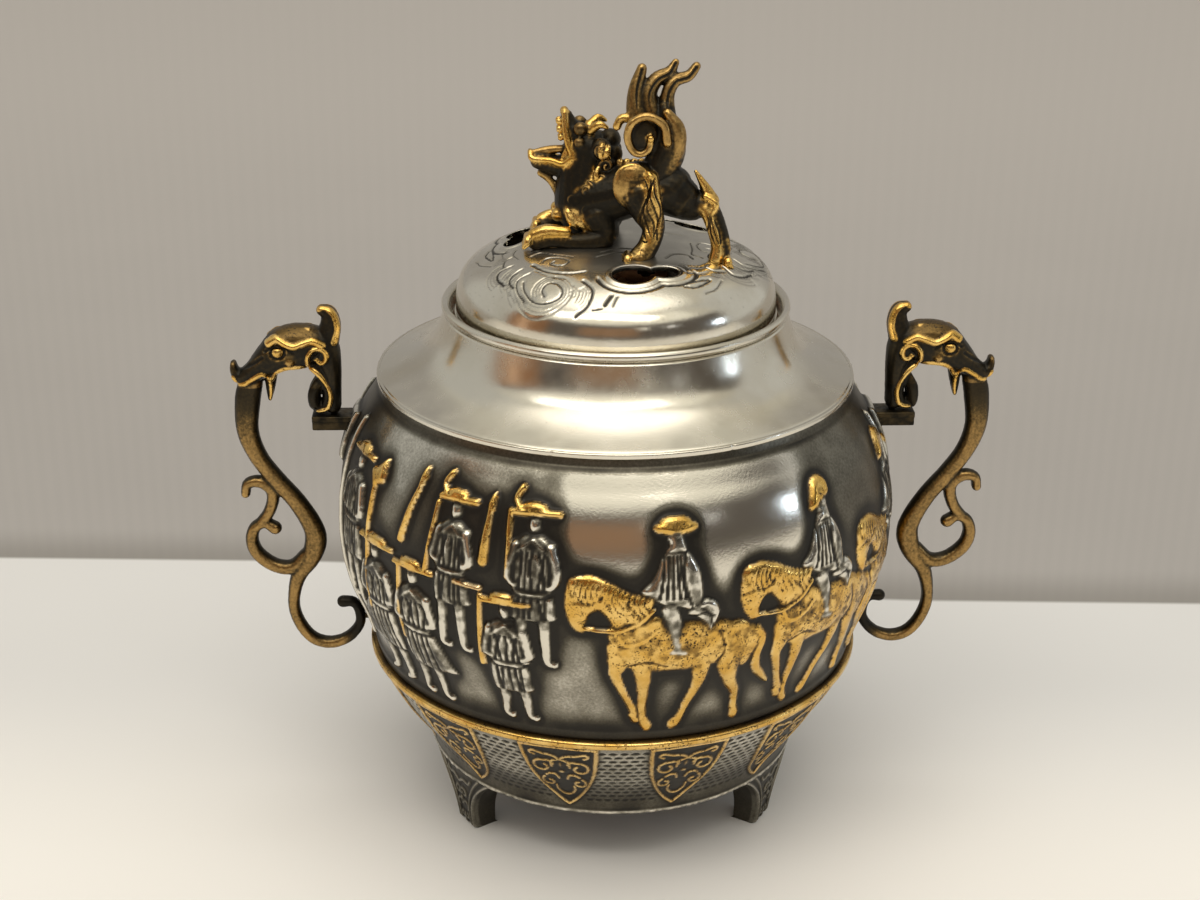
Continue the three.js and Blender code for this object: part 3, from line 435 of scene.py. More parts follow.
class Shader(Nodes):
    """The nodes of one material, whose surface is a Principled shader."""

    def __init__(self, name):
        self.material = bpy.data.materials.new(name)
        self.material.use_nodes = True
        super().__init__(self.material.node_tree)
        self.surface = self.add("ShaderNodeBsdfPrincipled")
        output = self.add("ShaderNodeOutputMaterial")
        self.tree.links.new(self.surface.outputs[0], output.inputs[0])
        self.place = self.add("ShaderNodeTexCoord").outputs["Object"]

    def set(self, **values):
        for name, value in values.items():
            self.plug(self.surface.inputs[name.replace("_", " ")], value)

    def stored(self, name):
        return self.add("ShaderNodeAttribute", attribute_name=name).outputs["Fac"]

    def noise(self, size, detail=3, roughness=0.55, stretch=None):
        """Noise with features about size millimetres wide."""
        place = self.place
        if stretch:
            place = self.add("ShaderNodeMapping", {0: place, "Scale": stretch}).outputs[0]
        settings = {"Vector": place, "Scale": 1 / (size * MM), "Detail": detail,
                    "Roughness": roughness}
        return self.add("ShaderNodeTexNoise", settings).outputs["Fac"]

    def bump(self, height, strength, distance):
        settings = {"Height": height, "Strength": strength, "Distance": distance * MM}
        return self.add("ShaderNodeBump", settings).outputs[0]


def colour(red, green, blue):
    return (red, green, blue, 1)


SILVER = colour(0.72, 0.685, 0.60)
WARM_TARNISH = colour(0.52, 0.46, 0.34)
GREY_TARNISH = colour(0.30, 0.29, 0.27)
GREY_METAL = colour(0.23, 0.215, 0.175)
PATINA = colour(0.026, 0.024, 0.021)
GREY_PATINA = colour(0.085, 0.077, 0.06)
ENGRAVED = colour(0.06, 0.055, 0.048)
GOLD = colour(0.66, 0.39, 0.085)
PALE_GOLD = colour(0.84, 0.57, 0.19)
OLD_GOLD = colour(0.27, 0.16, 0.045)
BRASS = colour(0.40, 0.25, 0.09)
BROWN = colour(0.032, 0.022, 0.012)
BLACK_BRONZE = colour(0.017, 0.015, 0.011)
DARK_BRONZE = colour(0.062, 0.046, 0.024)
COPPER = colour(0.50, 0.27, 0.16)


def polished_silver():
    """Polished silver with faint warm tarnish, rubbing marks and soft dents."""
    shader = Shader("polished_silver")
    cloud = shader.noise(28, 4)
    fine = shader.noise(2.2, 3)
    tarnish = shader.step(cloud, 0.42, 0.72)
    speck = shader.step(shader.noise(0.9, 2), 0.70, 0.78)
    tone = shader.mix(shader.times(tarnish, 0.45), SILVER, WARM_TARNISH)
    tone = shader.mix(shader.times(speck, 0.35), tone, GREY_TARNISH)
    rough = shader.step(shader.noise(9, 4), 0.3, 0.75, 0.16, 0.30)
    rough = shader.plus(rough, shader.times(speck, 0.15))
    scratch = shader.noise(1.4, 2, stretch=(1, 1, 9))
    height = shader.plus(shader.times(fine, 0.25), shader.times(scratch, 0.5))
    shader.set(Base_Color=tone, Metallic=1.0, Roughness=rough,
               Normal=shader.bump(height, 0.06, 0.25))
    return shader.material


def worked_metal(name, dark, grey, middle, bare, polish, relief):
    """Oxidised metal, lighter and smoother where it is raised or rubbed.

    The stored value bright runs from patina to bare metal, and in some places it also carries painted
    shade; gilt runs from that tone to gold."""
    shader = Shader(name)
    bright = shader.stored("bright")
    gilt = shader.stored("gilt")
    grain = shader.noise(0.7, 4, 0.65)
    cloud = shader.noise(6, 4)
    pit = shader.step(shader.noise(0.62, 2, 0.6), 0.55, 0.63)
    pit = shader.times(pit, shader.step(shader.noise(4, 2), 0.36, 0.56))
    pit = shader.times(pit, gilt)
    raised = shader.step(bright, 0.35, 0.6)
    gold = shader.mix(shader.step(cloud, 0.35, 0.7), GOLD, PALE_GOLD)
    uneven = shader.plus(shader.times(shader.minus(grain, 0.5), 0.5),
                         shader.times(shader.minus(cloud, 0.5), 0.3))
    uneven = shader.times(uneven, shader.step(bright, 0, 0.3, 0.15, 0.8))
    worn = shader.minus(shader.plus(bright, uneven), shader.times(pit, 0.5))
    low = shader.mix(shader.step(worn, -0.02, 0.24), dark, grey)
    tone = shader.mix(shader.step(worn, 0.16, 0.52), low, middle)
    tone = shader.mix(shader.step(worn, 0.46, 0.85), tone, bare)
    gold_low = shader.mix(shader.step(worn, -0.05, 0.25), BROWN, OLD_GOLD)
    gold_low = shader.mix(shader.step(worn, 0.18, 0.58), gold_low, gold)
    tone = shader.mix(gilt, tone, gold_low)
    rough = shader.step(worn, 0.0, 0.8, 0.40, polish)
    rough = shader.plus(rough, shader.times(grain, 0.05))
    height = shader.minus(shader.times(grain, 0.5), pit)
    height = shader.times(height, shader.plus(raised, 0.06))
    shader.set(Base_Color=tone, Metallic=shader.step(worn, -0.05, 0.3, 0.8, 1.0),
               Roughness=rough, Normal=shader.bump(height, relief, 0.22))
    return shader.material


def plain_metal(name, tone, patch, rough):
    """Metal of one colour with darker patches, for fasteners and inner pieces."""
    shader = Shader(name)
    share = shader.step(shader.noise(3, 4), 0.38, 0.66)
    height = shader.noise(1.2, 4)
    shader.set(Base_Color=shader.mix(share, tone, patch), Metallic=0.95,
               Roughness=shader.step(height, 0.3, 0.7, rough, rough + 0.2),
               Normal=shader.bump(height, 0.3, 0.2))
    return shader.material


def engraved_silver():
    """Silver with dark lines where it is cut, and grey tarnish over the crown."""
    shader = Shader("engraved_silver")
    cut = shader.stored("cut")
    tarnish = shader.stored("tarnish")
    cloud = shader.noise(11, 4)
    grain = shader.noise(1.1, 4, 0.6)
    speck = shader.step(shader.noise(0.8, 2), 0.66, 0.76)
    dull = shader.times(tarnish, shader.step(cloud, 0.25, 0.6, 0.6, 1.0))
    tone = shader.mix(shader.step(cloud, 0.35, 0.7, 0.0, 0.35), SILVER, WARM_TARNISH)
    tone = shader.mix(shader.times(dull, 0.75), tone, GREY_TARNISH)
    tone = shader.mix(shader.times(speck, 0.4), tone, GREY_PATINA)
    tone = shader.mix(shader.step(cut, 0.15, 1.0), tone, ENGRAVED)
    rough = shader.plus(shader.step(dull, 0.1, 0.8, 0.17, 0.36),
                        shader.times(shader.step(cut, 0.2, 0.8), 0.25))
    shader.set(Base_Color=tone, Metallic=1.0, Roughness=rough,
               Normal=shader.bump(grain, 0.10, 0.25))
    return shader.material


silver = polished_silver()
dome_silver = engraved_silver()
relief_metal = worked_metal("oxidised_silver", PATINA, GREY_PATINA, GREY_METAL, SILVER, 0.14, 0.28)
bronze_metal = worked_metal("gilt_bronze", BLACK_BRONZE, DARK_BRONZE, BRASS, PALE_GOLD, 0.22, 0.16)
dark_bronze = plain_metal("dark_bronze", DARK_BRONZE, BLACK_BRONZE, 0.36)
dark_silver = plain_metal("dark_silver", GREY_TARNISH, PATINA, 0.35)
copper = plain_metal("hammered_copper", COPPER, colour(0.36, 0.19, 0.115), 0.34)


# Bowl with its procession. A degree round the bowl is this long on its frieze.
DEGREE = 79 * math.radians(1)
MANE_LOCKS = 15


def horse(relief, x):
    """A gilt horse that walks to the left, drawn from its muzzle side."""
    at = placed(x)
    relief.plate(at((23, 86), (22.3, 90.5), (27, 93), (33, 94), (40, 92), (46, 91.6), (52, 91.4),
                    (58, 89), (64, 86.6), (65.3, 82), (63, 78), (60.5, 74.5), (56, 76.5),
                    (50, 77.2), (44, 76.4), (38, 76.6), (34, 76.4), (29, 77.6), (24, 81)),
                 1.2, GILT, edge=6)
    for top, *stations in (
        (0.95, (25.5, 84.5, 3.2), (25.3, 79.5, 2.7), (24.6, 76, 1.7), (26.4, 70.5, 1.25),
         (28.6, 65.5, 1.1), (30.4, 62, 1.5)),
        (1, (29.8, 61.2, 1.2), (30.8, 59.6, 1.3)),
        (1.15, (31, 83, 4), (32, 76, 2.4), (32.3, 69, 1.6), (32.4, 62.5, 1.25),
         (33.2, 58.8, 1.5), (34.2, 57.2, 1.5)),
        (0.95, (47.5, 82, 4), (47.8, 76, 2.6), (47.4, 70.5, 1.7), (45.4, 64.5, 1.3),
         (44.2, 60.5, 1.2), (42.8, 58, 1.7), (41.8, 57.2, 1.4)),
        (1.25, (56.5, 84.5, 5.6), (55.8, 77, 3.6), (57.2, 70.5, 2), (60, 65.5, 1.4),
         (60.9, 60.5, 1.3), (61.6, 57.4, 1.7)),
        (1.1, (63.2, 86, 1.2), (65, 82.4, 1.5), (64, 77.5, 1.5), (65, 72.8, 1.4),
         (67.6, 69.4, 1.1), (70.6, 66.2, 0.5)),
    ):
        relief.stroke(at(*stations), top, GILT)
    relief.plate(at((11.6, 100.5), (12.6, 103.6), (15.5, 104.7), (19, 104.8), (23, 103.3),
                    (27, 101), (31, 99.8), (34.2, 99.4), (34.4, 96.6), (33, 93), (29, 90.6),
                    (24.6, 90), (22.8, 92.6), (20.4, 95.2), (17.9, 94), (17, 91), (16.6, 89),
                    (14.4, 89.2), (12.6, 91.6), (11.4, 95.6)), 1.45, GILT, edge=4)
    for share in np.linspace(0, 1, MANE_LOCKS):
        root = 13.5 + 19 * share
        crest = 104.2 - 4.6 * share**1.3
        length = 4.5 + 2.5 * math.sin(9 * share) ** 2
        relief.line(at((root, crest - 0.6), (root - 0.8, crest - length * 0.5),
                       (root - 0.2 + 1.4 * share, crest - length)), 0.42, -0.32)
    relief.line(at((12, 96.8), (15, 98), (18.6, 97.4), (21.4, 99.6)), 0.5, -0.3)
    relief.oval(at((14.6, 97.2))[0], (0.9, 0.6), 1.55, GILT)
    relief.stroke(at((16.6, 90.2, 0.5), (20.5, 89.8, 0.55), (25, 89.9, 0.6), (30.4, 92, 0.6),
                     (34.4, 95.6, 0.6)), 1.5, GILT)
    for half, change, *points in (
        (0.4, 0.3, (13.3, 93.6), (16.2, 93), (17.6, 95.4)),
        (0.45, 0.3, (24.5, 89), (27, 85.8), (32, 87), (35.4, 90)),
        (0.5, -0.25, (28, 79), (33, 80.4), (38, 78.4)),
        (0.5, -0.22, (52, 88), (53.6, 82), (51.8, 78)),
    ):
        relief.line(at(*points), half, change)


def rider(relief, x, arms=0, cap=0):
    """A rider in a short robe and a broad hat, above a horse drawn from the same place."""
    at = placed(x)
    relief.stroke(at((38.6, 95, 2.4), (39.6, 90, 2.6), (40.4, 85, 2), (41.4, 82.8, 1.8)), 1.35)
    relief.stroke(at((39.4, 83.2, 1.3), (42.6, 82.6, 1.2)), 1.45)
    relief.plate(at((46.6, 97.4), (50.2, 96.6), (51.9, 93.6), (50.6, 90.2), (49.4, 87.8),
                    (47.8, 90.4), (45.6, 92.6), (43.2, 94)), 1.3, edge=1.3)
    relief.plate(at((37.6, 110.6), (42.8, 110.8), (45.4, 108), (46.8, 104), (47.3, 99), (47.2, 95),
                    (44, 94.6), (41, 95.6), (37.4, 96.4), (34.6, 98), (31, 100.3), (33.4, 103),
                    (35.4, 106.6)), 1.46, edge=3.6)
    relief.plate(at((38.2, 114.6), (42, 114.6), (42.9, 112), (42.8, 110.2), (37.6, 110.2),
                    (38.4, 112.4)), 1.2, edge=1.6)
    relief.line(at((34.6, 98.2), (38, 96.8), (42, 96.2), (47, 95.6)), 0.55, 0.22)
    for fold in (36.6, 37.9, 39.2, 40.5, 41.6):
        lean = (fold - 39.2) * 0.35
        relief.line(at((fold - lean * 0.5, 109.4), (fold, 104), (fold + lean, 98.6)), 0.5, -0.62)
    for half, change, *points in (
        (0.5, -0.4, (42.6, 110), (42, 105), (42.8, 100), (44.2, 95.6)),
        (0.4, -0.35, (44.6, 92.8), (47.4, 93.8), (50.2, 92.6)),
        (0.35, -0.3, (45, 96.4), (48.6, 93.6), (49.8, 89.4)),
    ):
        relief.line(at(*points), half, change)
    relief.oval(at((40.5, 114.9))[0], (2.2, 2.2), 1.3)
    if cap:
        relief.plate(at((35.8, 114.4), (37.6, 113.6), (41, 115.4), (44.2, 116.4), (44.6, 119.6),
                        (42.4, 121.6), (39, 121.2), (37, 118.4)), 1.58, GILT, edge=2)
    else:
        relief.oval(at((40.6, 116.5))[0], (6.2, 1.9), 1.5, GILT, edge=1.2)
        relief.oval(at((40.6, 117.7))[0], (4.6, 1.7), 1.58, GILT, edge=1.4)
    if arms:
        relief.stroke(at((44.5, 108, 1.8), (47.6, 110, 1.3), (50.4, 113, 1)), 1.45)
        relief.stroke(at((50, 112, 0.8), (52.6, 114.2, 1.5), (54.4, 112.6, 1)), 1.5, GILT)


def soldier(relief, x, hat, belt, hem, feet, half, lean, tail, plume):
    """A standing soldier with a flat hat, a belted coat and two legs.

    x is in degrees round the bowl, lean is the side that it faces, and tail flares the coat."""
    middle = x * DEGREE
    width = 1.08 * half * DEGREE
    chin = hat - 5.4
    shoulder = chin - 1.2
    at = placed(middle, width)
    for top, hip, knee, foot in ((1.15, -0.42, -0.5, -0.56), (1.2, 0.5, 0.56, 0.62)):
        relief.stroke(at((hip, hem + 2, 1.9), (knee, (hem + feet) / 2, 1.5), (foot, feet + 1, 1.2),
                         (foot + 0.3 * lean, feet, 1)), top)
    relief.plate(at((-0.72, belt + 0.6), (0.72, belt + 0.6), (0.9 + tail * max(lean, 0), hem + 2.6),
                    (0.85 + tail * max(lean, 0), hem + 0.6), (0.3, hem - 0.4), (-0.4, hem - 0.3),
                    (-0.9 + tail * min(lean, 0), hem + 0.6)), 1.3, edge=2.4)
    relief.plate(at((-0.3, shoulder + 0.8), (0.3, shoulder + 0.8), (0.78, shoulder - 1.6),
                    (0.9, shoulder - 8), (0.8, belt), (-0.8, belt), (-0.92, shoulder - 8),
                    (-0.78, shoulder - 1.6)), 1.45, edge=3.2)
    for side in (-1, 1):
        relief.stroke(at((side * 0.72, shoulder - 2.4, 1.6), (side * 0.98, shoulder - 8.5, 1.5),
                         (side * 0.86, belt + 2.4, 1.3),
                         (side * 0.45 + 0.1 * lean, belt + 1.6, 1)), 1.5)
        relief.line(at((0, shoulder - 0.4), (side * 0.36, shoulder - 2.2),
                       (side * 0.62, shoulder - 3.6)), 0.5, 0.2)
    for i, share in enumerate((-0.52, -0.26, 0.02, 0.3, 0.56)):
        sway = 0.12 * math.sin(2.4 * i + x)
        relief.line(at((share * 0.9, shoulder - 3.6), (share + sway, (shoulder + belt) / 2),
                       (share, belt + 1.2)), 0.5, -0.6)
        relief.line(at((share, belt - 1.4), (share * 1.2 + sway, hem + 1)), 0.5, -0.55)
    relief.line(at((-0.8, belt + 0.3), (0, belt - 0.4), (0.8, belt + 0.3)), 0.5, 0.24)
    relief.line(at((-0.8, belt - 0.9), (0, belt - 1.5), (0.8, belt - 0.9)), 0.4, -0.3)
    relief.oval((middle, hat - 3.2), (1.9, 2.6), 1.3)
    relief.line(at((-0.12, hat - 2.6), (0.02, hat - 3.8), (-0.04, hat - 4.8)), 0.4, 0.2)
    brim = 1.02 * width
    relief.stroke([(middle - brim, hat - 0.9, 0.95), (middle + brim, hat - 0.5, 0.95)], 1.5,
                  GILT, edge=0.9, smooth=0)
    relief.oval((middle - 0.1 * width * lean, hat + 0.4), (0.62 * width, 1.5), 1.6, GILT,
                edge=1.1)
    if plume:
        relief.stroke(at((-0.75 * lean, hat, 0.9), (-0.98 * lean, hat + 2.2, 0.9),
                         (-0.78 * lean, hat + 4.6, 1.1)), 1.6, GILT)


def staff(relief, points, head):
    """A gilt staff, with a plain, flared or pointed head."""
    places = [(x * DEGREE, z, half) for x, z, half in points]
    relief.stroke(places, 1.45, GILT)
    x, z, half = places[-1]
    if head == "flare":
        relief.plate([(x - 0.8, z - 2), (x - 3.8, z + 2.4), (x - 1, z + 3.6), (x + 2.2, z + 6.6),
                      (x + 3.2, z + 4), (x + 3.8, z + 0.6), (x + 1, z - 1)], 1.6, GILT, edge=1.3)
    if head == "blade":
        relief.stroke([(x, z, half), (x + 0.2, z + 2.4, half * 1.5), (x + 0.5, z + 5, 0.3)],
                      1.55, GILT)


def procession(relief, turn, horses, ranks):
    """One panel of the frieze: riders after a file of soldiers, turned round the bowl."""
    for place, arms, cap in horses:
        horse(relief, (turn + place) * DEGREE)
        rider(relief, (turn + place) * DEGREE, arms, cap)
    for x, *shape in ranks:
        soldier(relief, turn + x, *shape)


# Soldiers: (azimuth, hat, belt, hem, feet, half width in degrees, facing, coat tail, plume)
REAR_RANK = [
    (-68.5, 119.4, 100.5, 89, 76, 4.6, 1, 0.2, False),
    (-35.4, 119.6, 100.6, 91, 78, 3.9, 1, 0.2, True),
    (-18.2, 119.8, 99, 91, 78, 4.3, 1, 0.1, True),
]
FRONT_RANK = [
    (-57, 99.6, 81, 66.5, 57.2, 5.2, -1, 0.8, False),
    (-45, 98, 79.5, 66, 57.2, 4.6, 1, 0.7, False),
    (-23.4, 95.8, 77, 66.8, 57.8, 4.2, 1, 0.1, False),
]
BACK_RANK = [
    (-66, 119.2, 100, 89.5, 77, 4.3, 1, 0.2, True),
    (44, 119.4, 100, 90.5, 78, 4.2, -1, 0.2, True),
    (61, 119, 100.4, 90, 77.5, 4.2, -1, 0.1, False),
    (-53, 98.6, 80, 66, 57.4, 4.8, 1, 0.5, False),
    (37, 97.6, 79, 66.4, 57.6, 4.6, -1, 0.5, False),
    (53, 98.4, 80, 66.2, 57.4, 4.8, -1, 0.3, False),
    (68.5, 97.2, 79.4, 66.4, 57.6, 4.2, -1, 0.2, False),
]


# Staffs: the form of the head, and (azimuth, height, half width) from the foot up.
# The left ones are repeated at the back.
LEFT_STAFFS = [
    ("flare", (-60.4, 78, 0.8), (-59.9, 98, 0.8), (-59.6, 115, 0.9)),
    ("plain", (-49, 75, 0.9), (-48.8, 97, 0.9)),
    ("blade", (-48.6, 104, 1.2), (-47.2, 112, 1.1), (-45.6, 119, 0.8)),
]
STAFFS = [
    ("plain", (-41.4, 98.6, 1), (-41, 104, 0.7), (-40.2, 112, 0.7), (-40, 117, 0.8)),
    ("plain", (-28.9, 75.4, 1.1), (-28.7, 96, 0.7)),
    ("blade", (-28.4, 105, 1.5), (-28.1, 112, 1.2), (-27.8, 117.4, 0.9)),
    ("plain", (-23.4, 102, 0.5), (-23.2, 111, 0.9), (-23.6, 119, 0.9)),
    ("flare", (229, 76, 0.9), (229.3, 100, 0.8), (229.5, 115, 0.8)),
    ("blade", (211.5, 104, 1.2), (212, 112, 1.1), (212.6, 118, 0.8)),
]
SWORD = [(-34, 98, 1.1), (-31, 97.7, 0.7), (-28.9, 97.6, 0.9)]


def draw_frieze(relief):
    """Both processions, their staffs, the panels behind the brackets and the borders."""
    procession(relief, 0, [(-20.2, 0, 0), (13.4, 0, 1), (45, 1, 1)], REAR_RANK + FRONT_RANK)
    procession(relief, 180, [(-51, 0, 0), (-15, 1, 1)], BACK_RANK)
    for turn in (0, 180):
        for head, *points in LEFT_STAFFS:
            staff(relief, placed(turn)(*points), head)
    for head, *points in STAFFS:
        staff(relief, points, head)
    relief.stroke([(x * DEGREE, z, half) for x, z, half in SWORD], 1.5, 0.7)
    for middle in (-90, 90):
        x = middle * DEGREE
        relief.plate([(x - 6.4, 107.5), (x + 6.4, 107.5), (x + 6.4, 122), (x - 6.4, 122)], 1.5,
                     edge=1.2, smooth=0)
    for border in (78, 102):
        for side in (-1, 1):
            points = [(side * border * DEGREE, z, 0.9) for z in (58, 76, 94, 108, 119, 124)]
            relief.stroke(points, 1.2)


def bowl_shades(relief, height, up, degrees, speck):
    """Bright on ridges and dark in hollows, and on the open ground by its distance from the forms."""
    form = relief.form
    broad_edge = height - blur(height, 3.2)
    fine_edge = height - blur(height, 1.1)
    far = 1 - between(blur(form, 7), 0.0, 0.26)
    upper = between(up, 90, 100)

    # Polished places before the riders and above the soldiers
    streak = noise_field(form.shape, 11, 6) + 0.5 * noise_field(form.shape, 3, 7)
    front = between(degrees, -17, -10) * between(46 - degrees, 0, 12)
    left = 0.6 * between(degrees, -76, -66) * between(-14 - degrees, 0, 6) * between(up, 104, 113)
    # The polish fades out just under the collar, as part of the painted shadow there
    polished = (front * upper + 0.75 * left) * between(129.2 - up, 0, 1.6) * far

    # Open ground: dark at the forms, with a painted shadow under the collar near the mouth and
    # painted shade beside the handles
    ground = 0.06 + far * (0.50 * between(up, 56, 62) * (1 - upper) + 0.30 * upper)
    ground += 0.60 * polished + 0.16 * streak * (0.3 + far)
    ground -= 1.6 * np.clip(blur(form, 2.0) - form, 0, 1) * (1 - form)
    # Painted shadow of the collar's edge on the ground just under it
    ground -= 0.25 * between(up, 128, 129.4)
    # Painted shade on the ground behind and beside the handles
    behind = np.minimum(np.abs(degrees - 90), np.abs(degrees + 90))
    ground *= 0.4 + 0.6 * between(behind, 12, 24)

    # Forms: rubbed edges, and mottled gilding on the horses and hats
    middle = between(blur(form, 2.4), 0.72, 1) * between(up, 84, 92)
    raised = 0.30 - 0.20 * middle + 0.9 * broad_edge + 3.6 * fine_edge + 0.34 * speck
    shade = noise_field(form.shape, 5, 10) + 0.7 * noise_field(form.shape, 2.4, 11)
    riders = between(degrees, -12, -6) * between(-degrees, -62, -56)
    raised += (0.10 * riders - 0.18 * (1 - riders)) * (1 - relief.gilt)
    raised += 0.12 * streak + relief.gilt * (0.12 + 0.20 * middle + 0.34 * shade)
    bright = np.where(form > 0.5, raised, ground)
    bright = np.where(up > 129.6, 0.2, bright)
    return np.where(up < 55.4, 0.08, bright)


def bowl_piece():
    line = natural_line(BOWL_LINE, CELL)
    circle = 360 * DEGREE
    across = azimuths(COLUMNS) / TURN * circle
    relief = Relief(across, line[:, 1], circle)
    draw_frieze(relief)
    up = line[:, 1][:, None]
    form = relief.form
    ledge = 0.55 * (1 - between(up, 55.2, 56.6))
    dent = 0.10 * noise_field(form.shape, 14, 3) + 0.035 * noise_field(form.shape, 4, 4)
    muscle = 0.34 * noise_field(form.shape, 7, 8) + 0.16 * noise_field(form.shape, 3, 9)
    speck = noise_field(form.shape, 1.2, 5)
    height = blur(np.maximum(relief.height, ledge), 0.55)
    height = height + dent * (1 - form) + (muscle + 0.10 * speck) * form
    rise = np.minimum(height - GROUND + 0.5 * between(up, 124, 130), -0.02)
    bright = bowl_shades(relief, height, up, across[None, :] / DEGREE, speck)
    inner = natural_line([(r - BOWL_INNER, z) for r, z in BOWL_LINE[1:-1]], 8)[::-1]
    closing = np.vstack([
        [(LIP_RADIUS - 1, LIP_TOP - 0.45), (LIP_RADIUS - 1.35, LIP_TOP - 0.02)],
        [(MOUTH_RADIUS + 0.4, LIP_TOP - 0.02), (MOUTH_RADIUS, LIP_TOP - 0.5)],
        [(MOUTH_RADIUS, 128)],
        inner,
        [(BOWL_LINE[0][0] - BOWL_INNER + 0.4, BOWL_LINE[0][1])],
    ])
    relief_piece("bowl_relief", "bowl", line, rise, closing, bright,
                 blur(relief.gilt * form, 0.5), 0.3)


# Base band with its shields, the gilt moulding above it, and the feet
BAND_DEGREE = 62 * math.radians(1)
SHIELD_START = 15
SHIELD_COUNT = 12
SHIELD_HALF = 9.4
SHIELD_TOP = 49.3
SHIELD_TIP = 23.4
BAND_WALL = 2.2
FOOT_HEIGHT = 20.5
FOOT_CIRCLE = 54
FOOT_TOE = 4.6
FOOT_TOP = 17

# Mesh of a foot: its levels, and the points on its face, each side and its back
FOOT_LEVELS = 62
FOOT_FACE = 64
FOOT_SIDE = 14
FOOT_INNER = 20


def shield(relief, x):
    """A shield with a gilt border and a scroll of wire-like lines."""
    edge = [(SHIELD_HALF, SHIELD_TOP), (SHIELD_HALF - 0.2, 44), (SHIELD_HALF - 1.1, 37),
            (SHIELD_HALF - 3.6, 30), (SHIELD_HALF - 6.6, 25.6), (0, SHIELD_TIP)]
    outline = [(x + px, z) for px, z in edge] + [(x - px, z) for px, z in edge[-2::-1]]
    relief.plate(outline, 0.12, edge=0.3, smooth=0)
    for side in both_sides(widen(edge, 0.7, 0.5), x):
        relief.stroke(side, BAND_GROUND, 0.85)
    relief.stroke(widen([(x - SHIELD_HALF, SHIELD_TOP), (x, SHIELD_TOP + 0.3),
                         (x + SHIELD_HALF, SHIELD_TOP)], 0.5), 0.6, 0.8)
    scrolls = [
        [(0, 44.6), (1.8, 46), (4.2, 46.4), (6.6, 47.2), (7.4, 46.2), (6.4, 45.4)],
        [(0, 44.6), (2.2, 43.4), (2.4, 41)],
        curl((4.9, 40.6), 2.9, 110, -0.95, 0.35, 14),
        [(1.9, 42.2), (2.8, 43.4), (4.2, 43.4)],
        [(1.2, 35.4), (1.9, 37.2), (3.4, 37.4), (4.6, 36.4)],
        curl((4.2, 33.4), 2.2, 60, -0.9, 0.3, 14),
        [(2.6, 31.6), (2.5, 29.4), (1.2, 27.7), (0, 27.4)],
    ]
    for scroll in scrolls:
        for side in both_sides(widen(scroll, 0.52), x):
            relief.stroke(side, 0.6, 0.75, smooth=3)
    relief.oval((x, 38.8), (1.1, 0.7), 0.5, 0.5)
    relief.oval((x, 42), (0.5, 1.4), 0.4, 0.5)


def punched_ground(relief):
    """Rows of oval dents between the shields, which fade out towards the lower edge."""
    pitch = 2.75
    row_gap = 1.72
    top_row = 47.6
    dents = np.zeros_like(relief.height)
    step = 360 * BAND_DEGREE / SHIELD_COUNT
    for k in range(SHIELD_COUNT):
        middle = k * step
        for row in range(14):
            z = top_row - row * row_gap
            stagger = pitch / 2 if row % 2 else 0
            fade = 1 - 0.05 * row
            for column in range(-5, 6):
                x = column * pitch + stagger
                if abs(x) > 6.3 + 0.45 * row or abs(x) > 13:
                    continue
                low = np.array((middle + x - 1.2, z - 0.7))
                high = low + (2.4, 1.4)
                spot, px, pz = relief.window(low, high)
                away = ((px - middle - x) / 1.12) ** 2 + ((pz - z) / 0.55) ** 2
                dents[spot] = np.maximum(dents[spot], fade * np.clip(1 - away, 0, 1) ** 0.5)
    relief.height -= 0.30 * dents * (relief.form < 0.5)
    return dents


def band_piece():
    line = natural_line(BAND_LINE, 0.34)
    circle = 360 * BAND_DEGREE
    across = azimuths(BAND_COLUMNS) / TURN * circle
    relief = Relief(across, line[:, 1], circle)
    for k in range(SHIELD_COUNT):
        shield(relief, (SHIELD_START + 360 / SHIELD_COUNT * k) * BAND_DEGREE)
    dents = punched_ground(relief)
    up = line[:, 1][:, None]
    rough = noise_field(relief.height.shape, 1.5, 21)
    height = blur(relief.height, 0.45) + 0.05 * rough
    height += 0.35 * (1 - between(up, 20.9, 21.9)) * (0.75 + 0.5 * rough)
    fine_edge = height - blur(height, 1.6)
    open_ground = 1 - relief.form
    bright = open_ground * (0.20 + 0.34 * between(up, 26, 36)) + relief.form * 0.03
    bright += 1.8 * fine_edge + 0.22 * noise_field(height.shape, 8, 22)
    bright -= 0.5 * dents * open_ground
    bright += (0.25 + 0.3 * relief.gilt * rough) * between(relief.height, 0.3, 0.5)
    bright = np.where(up < 21.4, 0.62 + 0.3 * rough, bright)
    inner = line[::-6] - square_to(line)[::-6] * BAND_WALL
    closing = np.vstack([[(67.7, 50.2)], inner[inner[:, 1] > 23][1:],
                         [(52.6, 22.5), (40, 22.5), (40, 20.5), (52.6, 20.5)]])
    relief_piece("band_relief", "base_band", line, height - BAND_GROUND, closing, bright,
                 blur(relief.gilt, 0.5), 0.15)


def bead_piece():
    """The gilt moulding at the seam, a little uneven and rubbed."""
    section = rounded([(67.4, 50.25, 0), (69.5, 50.25), (70.55, 50.7), (70.55, 52.2),
                       (69.5, 52.75), (67.4, 52.75, 0)], 0.8)
    uneven = noise_field((len(section), 720), 5, 31)
    radius = section[:, :1] + 0.12 * uneven - 0.06
    piece = ring_piece("seam_moulding", radius, section[:, 1:], "vessel", "seam_bead",
                       relief_metal)
    crest = between(section[:, :1], 69.6, 70.3)
    bright = 0.16 + 0.42 * crest + 0.6 * uneven
    store(piece.data, bright=np.clip(bright, 0, 1), gilt=np.full(bright.shape, 0.95))


def foot_half_width(z):
    return FOOT_TOE + (FOOT_TOP - FOOT_TOE) * (max(z - 3, 0) / 17.5) ** 2.2


